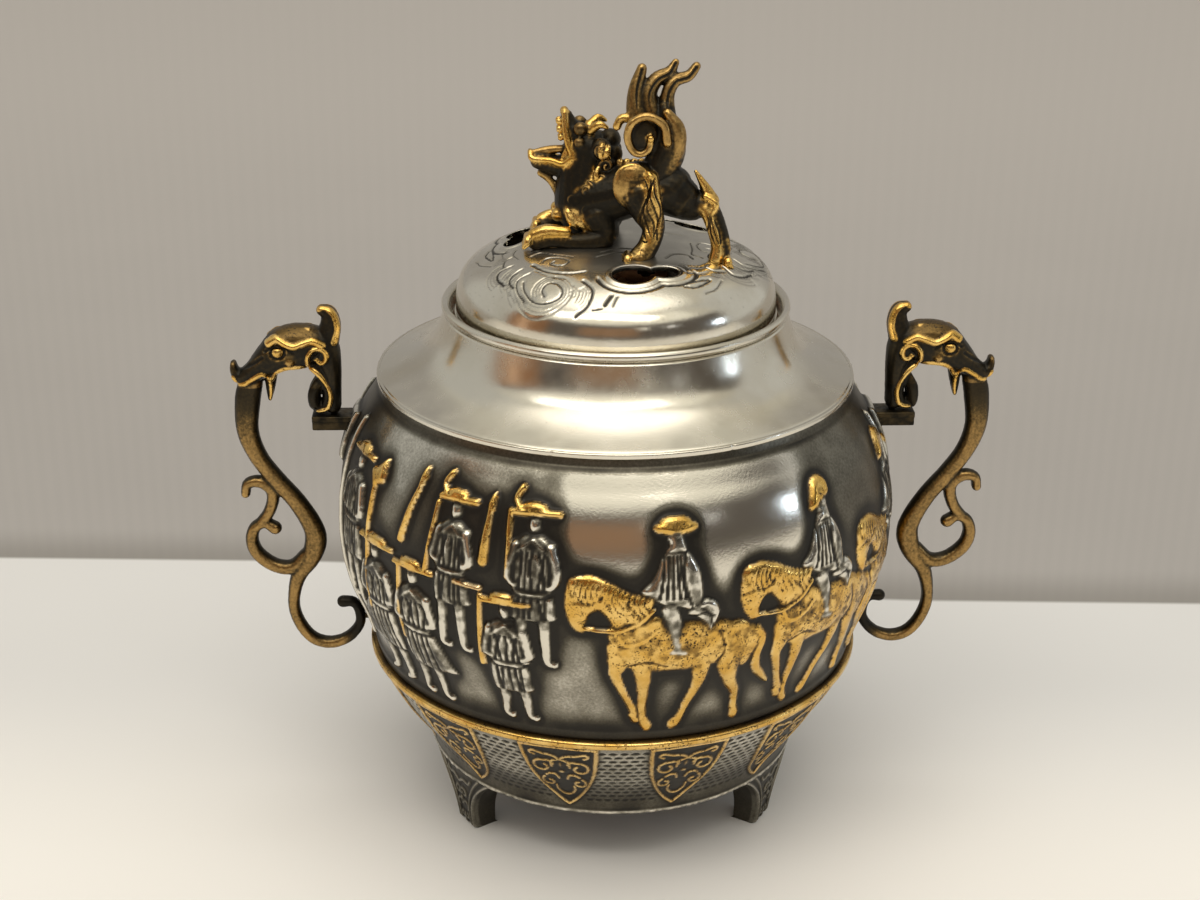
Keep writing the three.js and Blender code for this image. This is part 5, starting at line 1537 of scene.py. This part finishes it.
# Lion finial, drawn above the crown of the dome: (x, y, height, radius)
LION_MIDDLE = 0.8
LION_BODY = [
    [(-9, 0, 10, 8), (-2, -3, 12, 7.4), (6, -5, 14.5, 7), (13, -7, 14.6, 7.2), (16, -8, 13, 5.8)],
    [(-9, 0, 10, 8), (-9.5, 0.5, 17, 6.6), (-8.5, 1, 23.5, 6)],
    [(-9.5, 1, 20, 4.2), (-15.5, 0.6, 19.3, 3), (-21.3, 0, 20.8, 2.1)],
    [(-9, 1, 25.5, 4.4), (-12.5, 0.8, 29.5, 3), (-13.6, 0.6, 33, 1.6)],
    [(-5, -5.4, 7, 5.6), (-3.6, -7.8, 2, 3.2), (-11, -8, 0.8, 2.2), (-17, -7.6, 1.2, 2),
     (-22, -7, 0.6, 2.4)],
    [(-4, 5, 7, 5.6), (-1.6, 7.8, 2, 3.2), (-9, 9, 1, 2.3), (-15, 8.6, 1.2, 2.1),
     (-19.5, 8, 0.8, 2.4)],
    [(5, -11.6, 15, 5), (7.4, -13.4, 10.5, 4.2), (9, -14.2, 6, 3), (7.6, -15.6, 1.6, 2.8),
     (5, -17.2, -1.4, 2.9)],
    [(13, -7, 14.6, 7), (19, -8, 11.2, 4.8), (23.6, -9.8, 10.4, 3), (26.2, -10.8, 5.2, 2.6),
     (27.4, -11.8, 0.6, 2.5), (26.4, -12.6, -3.8, 2.8)],
    [(24, -9.6, 12.5, 1.6), (22.4, -9.6, 16.5, 1.1), (20.6, -9.4, 19.6, 0.5)],
    [(10, -8, 19, 4.6), (13, -8, 26, 4.6), (12.4, -8, 33, 3.2), (12, -7.4, 37, 2)],
]
LION_FLAMES = [
    [(9.4, -7.6, 27, 3.4), (5.2, -7, 34, 2.9), (4.4, -6, 40.6, 2.1), (5.9, -5, 46.6, 1.3)],
    [(10.4, -7.4, 31, 2.9), (7.6, -6, 39, 2.4), (9.6, -5, 43.6, 1.9), (13.2, -4.4, 45.6, 1.5),
     (14.8, -4, 48, 1.0)],
    [(12.6, -7.4, 33, 2.6), (12.6, -6.2, 39.6, 1.9), (14.6, -5.4, 43.4, 1.7),
     (18.2, -4.6, 44.6, 1.5), (20.2, -4, 46.9, 1.2)],
]
LION_BALLS = [
    ((-8.5, -0.5, 9), (8, 8, 9)), ((4.8, -11, 16.5), (5.4, 4.4, 7)), ((-8.4, 1, 24), (6.2, 6, 5.8)),
    ((-2, 1, 26.4), (3, 3.6, 3)),
]
# The mane's curls on both sides: (x, distance from the middle, height, size)
LION_CURLS = [
    (-4.6, 4.6, 25, 2.9), (-3.2, 4.2, 20.6, 2.7), (-4.4, 4.8, 16.4, 2.6), (-8.4, 5.4, 14.6, 2.5),
    (-0.6, 3.6, 17.6, 2.6), (-12, 4.4, 12, 2.3), (-8, 6, 9.6, 2.5),
]
# Balls on both sides of mane, head and chest: a place as above, size, gilt and brightness
LION_SIDE_BALLS = [
    ((-1.2, 2.6, 23.2), (2.6, 2.08, 2.6), 0, 0.03),
    ((-10, 3.9, 30.2), (1.9, 1.6, 1.9), 0, 0.12),
    ((-10.3, 4.6, 26.6), (1.5, 1.2, 1.5), 0, 0.10),
    ((-15.7, 1.3, 31.6), (0.9, 0.7, 0.9), 0.9, 0.6),
    ((-15.6, 1.3, 29.4), (0.9, 0.7, 0.9), 0.9, 0.6),
    ((-15.2, 1.3, 27.2), (0.9, 0.7, 0.9), 0.9, 0.6),
    ((-14.2, 0.9, 34.2), (1.2, 1, 1.1), 0.8, 0.55),
    ((-16, 3.6, 6.8), (1.9, 1.7, 1.9), 0.6, 0.4),
]
# Bars on both sides of head and mane: gilt, brightness, then stations (place, radius)
LION_SIDE_BARS = [
    (1, 0.75, (-14.2, 1.7, 34, 0.8), (-14, 2.5, 30, 0.9), (-13.2, 3.4, 26, 1), (-12, 4.3, 23, 0.9)),
    (1, 0.75, (-23.3, 0.7, 23.2, 0.8), (-22.6, 1.9, 21.6, 0.9), (-18, 2.8, 21.4, 0.9),
     (-14.6, 3.6, 20.6, 1), (-12.2, 4.6, 22.4, 0.9)),
    (0.7, 0.5, (-7.4, 3.2, 29.6, 1.3), (-5, 4.2, 31.4, 1.1), (-3, 4.4, 30.6, 0.6)),
    (0.8, 0.7, (-13.4, 2.6, 24.4, 0.7), (-14.6, 2.6, 22.6, 0.5), (-15.2, 2.5, 21.2, 0.3)),
    (0.9, 0.6, (-7, 6.2, 17.4, 0.6), (-8.8, 6.6, 15, 0.9), (-11.4, 6, 13.4, 0.6)),
    (0.9, 0.6, (-4.3, 6.6, 26.6, 0.5), (-4.8, 7.2, 24.5, 0.8), (-4.1, 6.9, 22.4, 0.5)),
    (0.9, 0.6, (-2.7, 6.6, 26, 0.5), (-3.2, 7.2, 24.4, 0.8), (-2.5, 6.9, 22.8, 0.5)),
    (0.9, 0.6, (-5.4, 6.6, 20.6, 0.5), (-5.9, 7.2, 18.4, 0.8), (-5.2, 6.9, 16.2, 0.5)),
]
# Bars of muzzle, legs, paws and tail: gilt, brightness, then stations (x, y, height, radius)
LION_BARS = [
    (0.2, 0.3, (-22.4, 0.6, 23, 0.9), (-18.4, 0.8, 23.6, 1.2), (-14.8, 0.8, 24, 1)),
    (0.3, 0.3, (-20.6, 0.6, 17.4, 1), (-18.2, 0.6, 15.6, 1), (-16, 0.4, 12.4, 1.2),
     (-14, 0, 7, 1.6)),
    (0.85, 0.6, (7.8, -13.6, 19.5, 2.2), (8.4, -14.8, 14, 2.5), (9, -15, 8, 2.3),
     (7.8, -16.2, 3, 2.1), (5.4, -17.4, -0.6, 2.2)),
    (0.95, 0.66, (-14, -8.4, 3.4, 1.7), (-19, -8, 3.6, 2), (-22.4, -7.6, 2.4, 2)),
    (0.9, 0.6, (-12, 9.4, 3.4, 1.6), (-17, 9, 3.4, 1.8), (-20, 8.8, 2.4, 1.8)),
    (0.95, 0.62, (22.6, -11.4, 10.6, 1.5), (24.6, -13, 6, 1.5), (26, -14, 1, 1.6),
     (25.6, -14.6, -2.6, 1.8)),
    (0.7, 0.5, (5, -8, 33.4, 1.4), (0.8, -8, 34.2, 1.2), (-0.6, -8, 32, 1.2)),
    (0.15, 0.32, (12.4, -10.4, 36, 1.3), (15, -10.4, 31.6, 2.2), (14.8, -10.4, 26, 2.3),
     (12.4, -10.4, 21, 1.5)),
    (0.7, 0.5, (25, -10.6, 12.6, 1.7), (22.6, -10.2, 16.6, 1.2), (20.2, -9.8, 20.4, 0.5)),
    (1, 0.6, (22.8, -11.6, 14, 0.9), (25.7, -12.2, 12, 0.9), (24.4, -12.6, 9.4, 0.6)),
    (0.9, 0.5, (28.3, -12.4, 2, 1), (29.2, -12.4, -0.2, 0.8), (29.4, -12.4, -1.6, 0.4)),
]
TAIL_SPIRAL = [(12.4, 28.6), (11.4, 33.2), (7.2, 35.6), (3.2, 34), (1.9, 30.4), (3.2, 26.6),
               (5.6, 25.6), (7.6, 27), (8, 29.4)]
# Paws: where the toes start, and the way that they point
LION_PAWS = ((-22.6, -7, 0.3, -1), (-20.2, 8, 0.5, -1), (3.6, -17.6, -1.8, -1),
             (27.4, -13.4, -4, 1))


def lion_casting():
    casting = Casting()
    for stations in LION_BODY:
        casting.bar(stations, 0.0, 0.0)
    for stations in LION_FLAMES:
        casting.bar([(x, y, z, 1.1 * half, half) for x, y, z, half in stations], 0.1, 0.22)
    for at, size in LION_BALLS:
        casting.ball(at, size, 0.0, 0.0)
    for side in (-1, 1):
        for x, out, z, size in LION_CURLS:
            casting.ball((x, LION_MIDDLE + side * out, z), (size, size * 0.8, size), 0.0, 0.03)
        for (x, out, z), size, gilt, bright in LION_SIDE_BALLS:
            casting.ball((x, LION_MIDDLE + side * out, z), size, gilt, bright)
        for gilt, bright, *stations in LION_SIDE_BARS:
            casting.bar([(x, LION_MIDDLE + side * out, z, half) for x, out, z, half in stations],
                        gilt, bright)
    for gilt, bright, *stations in LION_BARS:
        casting.bar(stations, gilt, bright)
    for x, y, z, run in LION_PAWS:
        for k in (-1.5, -0.5, 0.5, 1.5):
            casting.bar([(x + 1.6 * run, y + 1.25 * k, z + 1.4, 1.05),
                         (x + 1.7 * run, y + 1.5 * k, z + 0.5, 1.05),
                         (x + 2.7 * run, y + 1.55 * k, z - 0.9, 0.6)], 0.9, 0.62)

    # The thigh, and the spiral at the root of the tail
    casting.ball((3.2, -13.1, 17.4), (5.2, 2.4, 6.2), 0.25, 0.40)
    casting.bar([(x, -12.4, z, 1.2 - 0.04 * i) for i, (x, z) in enumerate(TAIL_SPIRAL)], 0.15, 0.36)
    casting.ball((8, -12.9, 29.8), (1, 0.9, 1), 1, 0.9)
    casting.ball((5.8, -10.4, 30), (4.6, 1.8, 4.8), 0, 0.04)

    # The chest frill and the backbone
    for share in np.arange(5) / 4:
        x, y, z = -13.6 + 9 * share, -6.6 - 1.2 * share, 8.6 - 1.6 * share
        casting.bar([(x, y, z, 0.9), (x + 1, y - 0.8, z - 2.4, 1), (x + 2.4, y - 0.6, z - 4.2, 0.5)],
                    0.9, 0.55)
    for share in np.arange(8) / 7:
        casting.ball((-3.4 + 13.4 * share, -1.2 - 6 * share, 20.6 + 1.6 * share), (1.2, 1.1, 1.2),
                     0.6, 0.45)
    return casting


def carve_lion(skin):
    """Spirals in the mane's curls, hair on the hind legs, and lines on thigh and flames."""
    for side in (-1, 1):
        for x, out, z, size in LION_CURLS:
            winding = curl((x, z), size * 0.82, 30 * z, -1.4, 0.12, 12)
            path = [(px, LION_MIDDLE + side * (out + size * 0.7), pz) for px, pz in winding]
            skin.carve(path, 0.42, 0.35, 0, 0.14)
    for k in range(6):
        x = 6.2 + 0.9 * k
        hair = [(x + 1.2 * math.sin(1.7 * i + k), -16.6, 20 - 4 * i) for i in range(5)]
        skin.carve(hair, 0.38, -0.45, 0.4, 0.1)
    for k in range(4):
        x = 22.6 + 0.9 * k
        hair = [(x + 0.5 * i + 0.5 * math.sin(2 * i + k), -14.4, 11 - 3 * i) for i in range(4)]
        skin.carve(hair, 0.35, -0.4, 0.4, 0.1)
    thigh = [(-1.6, -14, 20.6), (1.6, -15, 23.2), (5.6, -15, 23), (8.4, -15, 20)]
    skin.carve(thigh, 0.6, 0.35, 0.6, 0.6, 0.3)
    for stations in LION_FLAMES:
        middle = [(x, y - 1.2, z) for x, y, z, _ in stations]
        skin.carve(middle, 0.55, -0.4, 0, 0.08, 0.3)
    skin.measure()


def lion_piece():
    skin = Skin(lion_casting(), 3)
    carve_lion(skin)
    skin.wear(strength=2, roughness=0.06, seed=53)
    skin.points[:, 2] += CROWN_TOP
    dome = dome_height(np.hypot(skin.points[:, 0], skin.points[:, 1])) + 0.02
    skin.points[:, 2] = np.maximum(skin.points[:, 2], dome - 0.3)
    skin.piece("cast_lion", 0, "lid", "lion_finial", "gilt")


# Hidden fasteners and the base plate keep their CAD shapes, with worn metal on them
PLAIN_NODES = ("plate", "rivet", "pin", "screw", "stud", "nut")


def finish_cad_nodes():
    for name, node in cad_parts.items():
        tone = dark_silver if name == "base_plate" else dark_bronze
        if any(word in name for word in PLAIN_NODES):
            node.data.materials.clear()
            node.data.materials.append(tone)


# Floor, backdrop, light and camera
def camera_axes():
    pan, pitch, roll = (math.radians(v) for v in (CAMERA_PAN, CAMERA_PITCH, CAMERA_ROLL))
    right = Vector((math.cos(pan), -math.sin(pan), 0))
    forward = Vector((math.cos(pitch) * math.sin(pan), math.cos(pitch) * math.cos(pan),
                      -math.sin(pitch)))
    up = right.cross(forward)
    across = math.cos(roll) * right + math.sin(roll) * up
    upright = -math.sin(roll) * right + math.cos(roll) * up
    return across, upright, forward


def add_camera():
    across, upright, forward = camera_axes()
    turn = Matrix.Rotation(math.radians(-OBJECT_TURN), 3, "Z")
    axes = Matrix((turn @ across, turn @ upright, turn @ -forward)).transposed()
    camera = bpy.data.objects.new("camera", bpy.data.cameras.new("camera"))
    camera.data.sensor_width = SENSOR_WIDTH
    camera.data.sensor_fit = "HORIZONTAL"
    camera.data.lens = FOCAL_PIXELS * SENSOR_WIDTH / IMAGE_WIDTH
    camera.data.clip_start = 0.01
    camera.matrix_world = axes.to_4x4()
    place = turn @ Vector((0, -CAMERA_DISTANCE, CAMERA_HEIGHT))
    camera.location = place * MM
    bpy.context.scene.collection.objects.link(camera)
    bpy.context.scene.camera = camera


# Paper and wall tones: the near paper and the upper wall carry painted light, and the wall's foot a
# painted shadow
PAPER_TONES = (colour(0.69, 0.69, 0.70), colour(0.76, 0.76, 0.77))
PAPER_PAINTED_LIGHT = colour(0.92, 0.905, 0.89)
WALL_TONES = (colour(0.372, 0.356, 0.35), colour(0.42, 0.402, 0.393))
WALL_PAINTED_LIGHT = colour(0.475, 0.452, 0.44)
WALL_RIB = colour(0.55, 0.52, 0.50)
WALL_FOOT_SHADOW = colour(0.16, 0.15, 0.13)
FLOOR_HALF = 4


def add_floor():
    """White paper with painted light near the camera, and behind its edge the colour of a faintly
    ribbed grey wall, with painted light higher up and a painted shadow at its foot.
    """
    shader = Shader("paper")
    turn = {0: shader.place, "Rotation": (0, 0, math.radians(-OBJECT_TURN))}
    turned = shader.add("ShaderNodeMapping", turn, vector_type="TEXTURE")
    split = shader.add("ShaderNodeSeparateXYZ", {0: turned.outputs[0]})
    across, depth = split.outputs[0], split.outputs[1]
    edge = shader.step(across, -0.12, 0.12, PAPER_DEPTH[0] * MM, PAPER_DEPTH[1] * MM)
    beyond = shader.minus(depth, edge)
    away = shader.plus(depth, CAMERA_DISTANCE * MM)
    bearing = shader.math("ARCTAN2", across, away)
    rib = shader.math("SINE", shader.times(bearing, RIB_COUNT))
    cloud = shader.noise(160, 2)
    paper = shader.mix(cloud, *PAPER_TONES)
    # Painted light on the paper near the camera
    paper = shader.mix(shader.step(depth, -0.06, 0.07, 1, 0), paper, PAPER_PAINTED_LIGHT)
    wall = shader.mix(cloud, *WALL_TONES)
    # Painted light, lighter higher up the wall
    wall = shader.mix(shader.step(beyond, 0.05, 0.9), wall, WALL_PAINTED_LIGHT)
    wall = shader.mix(shader.step(rib, -1, 1, 0, 0.05), wall, WALL_RIB)
    # Painted shadow along the foot of the wall, where it meets the paper
    wall = shader.mix(shader.step(beyond, 0, 0.03, 0.45, 0), wall, WALL_FOOT_SHADOW)
    tone = shader.mix(shader.step(beyond, -0.0015, 0.0015), paper, wall)
    shader.set(Base_Color=tone, Roughness=0.85)
    shader.surface.inputs["Specular IOR Level"].default_value = 0.2
    mesh = bpy.data.meshes.new("floor")
    corners = [(x * FLOOR_HALF, y * FLOOR_HALF, 0) for x, y in ((-1, -1), (1, -1), (1, 1), (-1, 1))]
    mesh.from_pydata(corners, [], [(0, 1, 2, 3)])
    mesh.materials.append(shader.material)
    floor = bpy.data.objects.new("floor", mesh)
    bpy.context.scene.collection.objects.link(floor)


LAMP_TARGET = (0, 0, 0.1)


def add_light(name, size, place, power, tint):
    light = bpy.data.lights.new(name, "AREA")
    light.shape = "RECTANGLE"
    light.size, light.size_y = size
    light.energy = power
    light.color = tint
    lamp = bpy.data.objects.new(name, light)
    lamp.location = place
    aim = Vector(LAMP_TARGET) - Vector(place)
    lamp.rotation_euler = aim.to_track_quat("-Z", "Y").to_euler()
    bpy.context.scene.collection.objects.link(lamp)


# The room seen in the metal: (azimuths and elevations in degrees), softness and colour.
# Azimuth 0 is towards the camera and grows to the right.
BACKDROP = colour(0.50, 0.48, 0.45)
WALL_LOW = colour(0.40, 0.38, 0.34)
WALL_HIGH = colour(0.50, 0.48, 0.44)
CEILING = colour(0.64, 0.61, 0.52)
CEILING_LAMP = colour(2.2, 2.08, 1.84)
ROOM_PATCHES = [
    ((-78, 78, -20, 29), 5, colour(0.115, 0.10, 0.085)),
    ((-82, -54, -8, 27), 3, colour(0.30, 0.15, 0.07)),
    ((-74, -68, -6, 25), 1.5, colour(0.75, 0.48, 0.30)),
    ((-26, 10, 7, 22), 5, colour(0.32, 0.19, 0.11)),
    ((-62, 62, 38, 56), 6, colour(1.05, 1.0, 0.86)),
    ((16, 19, 21, 24), 1, colour(3.0, 2.9, 2.6)),
    ((36, 40, 20, 23), 1, colour(2.0, 2.0, 2.0)),
    ((88, 128, 4, 50), 10, colour(0.60, 0.59, 0.55)),
    ((-135, -92, 4, 52), 10, colour(0.54, 0.53, 0.49)),
    ((150, 180, -5, 40), 10, colour(0.38, 0.36, 0.33)),
    ((-180, -150, -5, 40), 10, colour(0.38, 0.36, 0.33)),
]


def add_world():
    """A plain room: bright above, grey walls, and a dark side with some wood behind the camera."""
    world = bpy.data.worlds.new("room")
    world.use_nodes = True
    bpy.context.scene.world = world
    nodes = Nodes(world.node_tree)
    background = nodes.add("ShaderNodeBackground")
    output = nodes.add("ShaderNodeOutputWorld")
    nodes.tree.links.new(background.outputs[0], output.inputs[0])
    place = nodes.add("ShaderNodeTexCoord").outputs["Generated"]
    split = nodes.add("ShaderNodeSeparateXYZ", {0: place})
    to_degrees = 180 / math.pi
    elevation = nodes.times(nodes.math("ARCSINE", split.outputs[2]), to_degrees)
    azimuth = nodes.math("ARCTAN2", split.outputs[0], nodes.times(split.outputs[1], -1))
    azimuth = nodes.times(azimuth, to_degrees)

    def patch(low_side, high_side, low, high, soft):
        """1 inside a patch of azimuths and elevations, fading to 0 outside it."""
        share = 1
        for value, start, end in ((azimuth, low_side, high_side), (elevation, low, high)):
            share = nodes.times(share, nodes.step(value, start - soft, start))
            share = nodes.times(share, nodes.step(value, end, end + soft, 1, 0))
        return share

    tone = nodes.mix(nodes.step(elevation, 0, 30), WALL_LOW, WALL_HIGH)
    tone = nodes.mix(nodes.step(elevation, 30, 38), tone, CEILING)
    tone = nodes.mix(nodes.step(elevation, 58, 76), tone, CEILING_LAMP)
    for span, soft, tint in ROOM_PATCHES:
        tone = nodes.mix(patch(*span, soft), tone, tint)
    seen = nodes.add("ShaderNodeLightPath").outputs["Is Camera Ray"]
    nodes.plug(background.inputs[0], nodes.mix(seen, tone, BACKDROP))


bowl_piece()
band_piece()
bead_piece()
for foot, turn in (("back", 180), ("front_left", 300), ("front_right", 60)):
    foot_piece(foot, turn)
collar_pieces()
dome_piece()
lid_flange_piece()
liner_piece()
handle_pieces()
for side, turn in SIDES:
    bracket_piece(side, turn)
lion_piece()
finish_cad_nodes()
add_camera()
add_floor()
add_world()
add_light("overhead", (1.3, 0.3), (-0.15, -0.64, 1.12), 4.0, (1, 0.95, 0.86))
add_light("window", (0.10, 0.16), (1.0, -0.3, 0.32), 0.4, (0.72, 0.84, 1))

bpy.context.scene.view_settings.view_transform = "Standard"
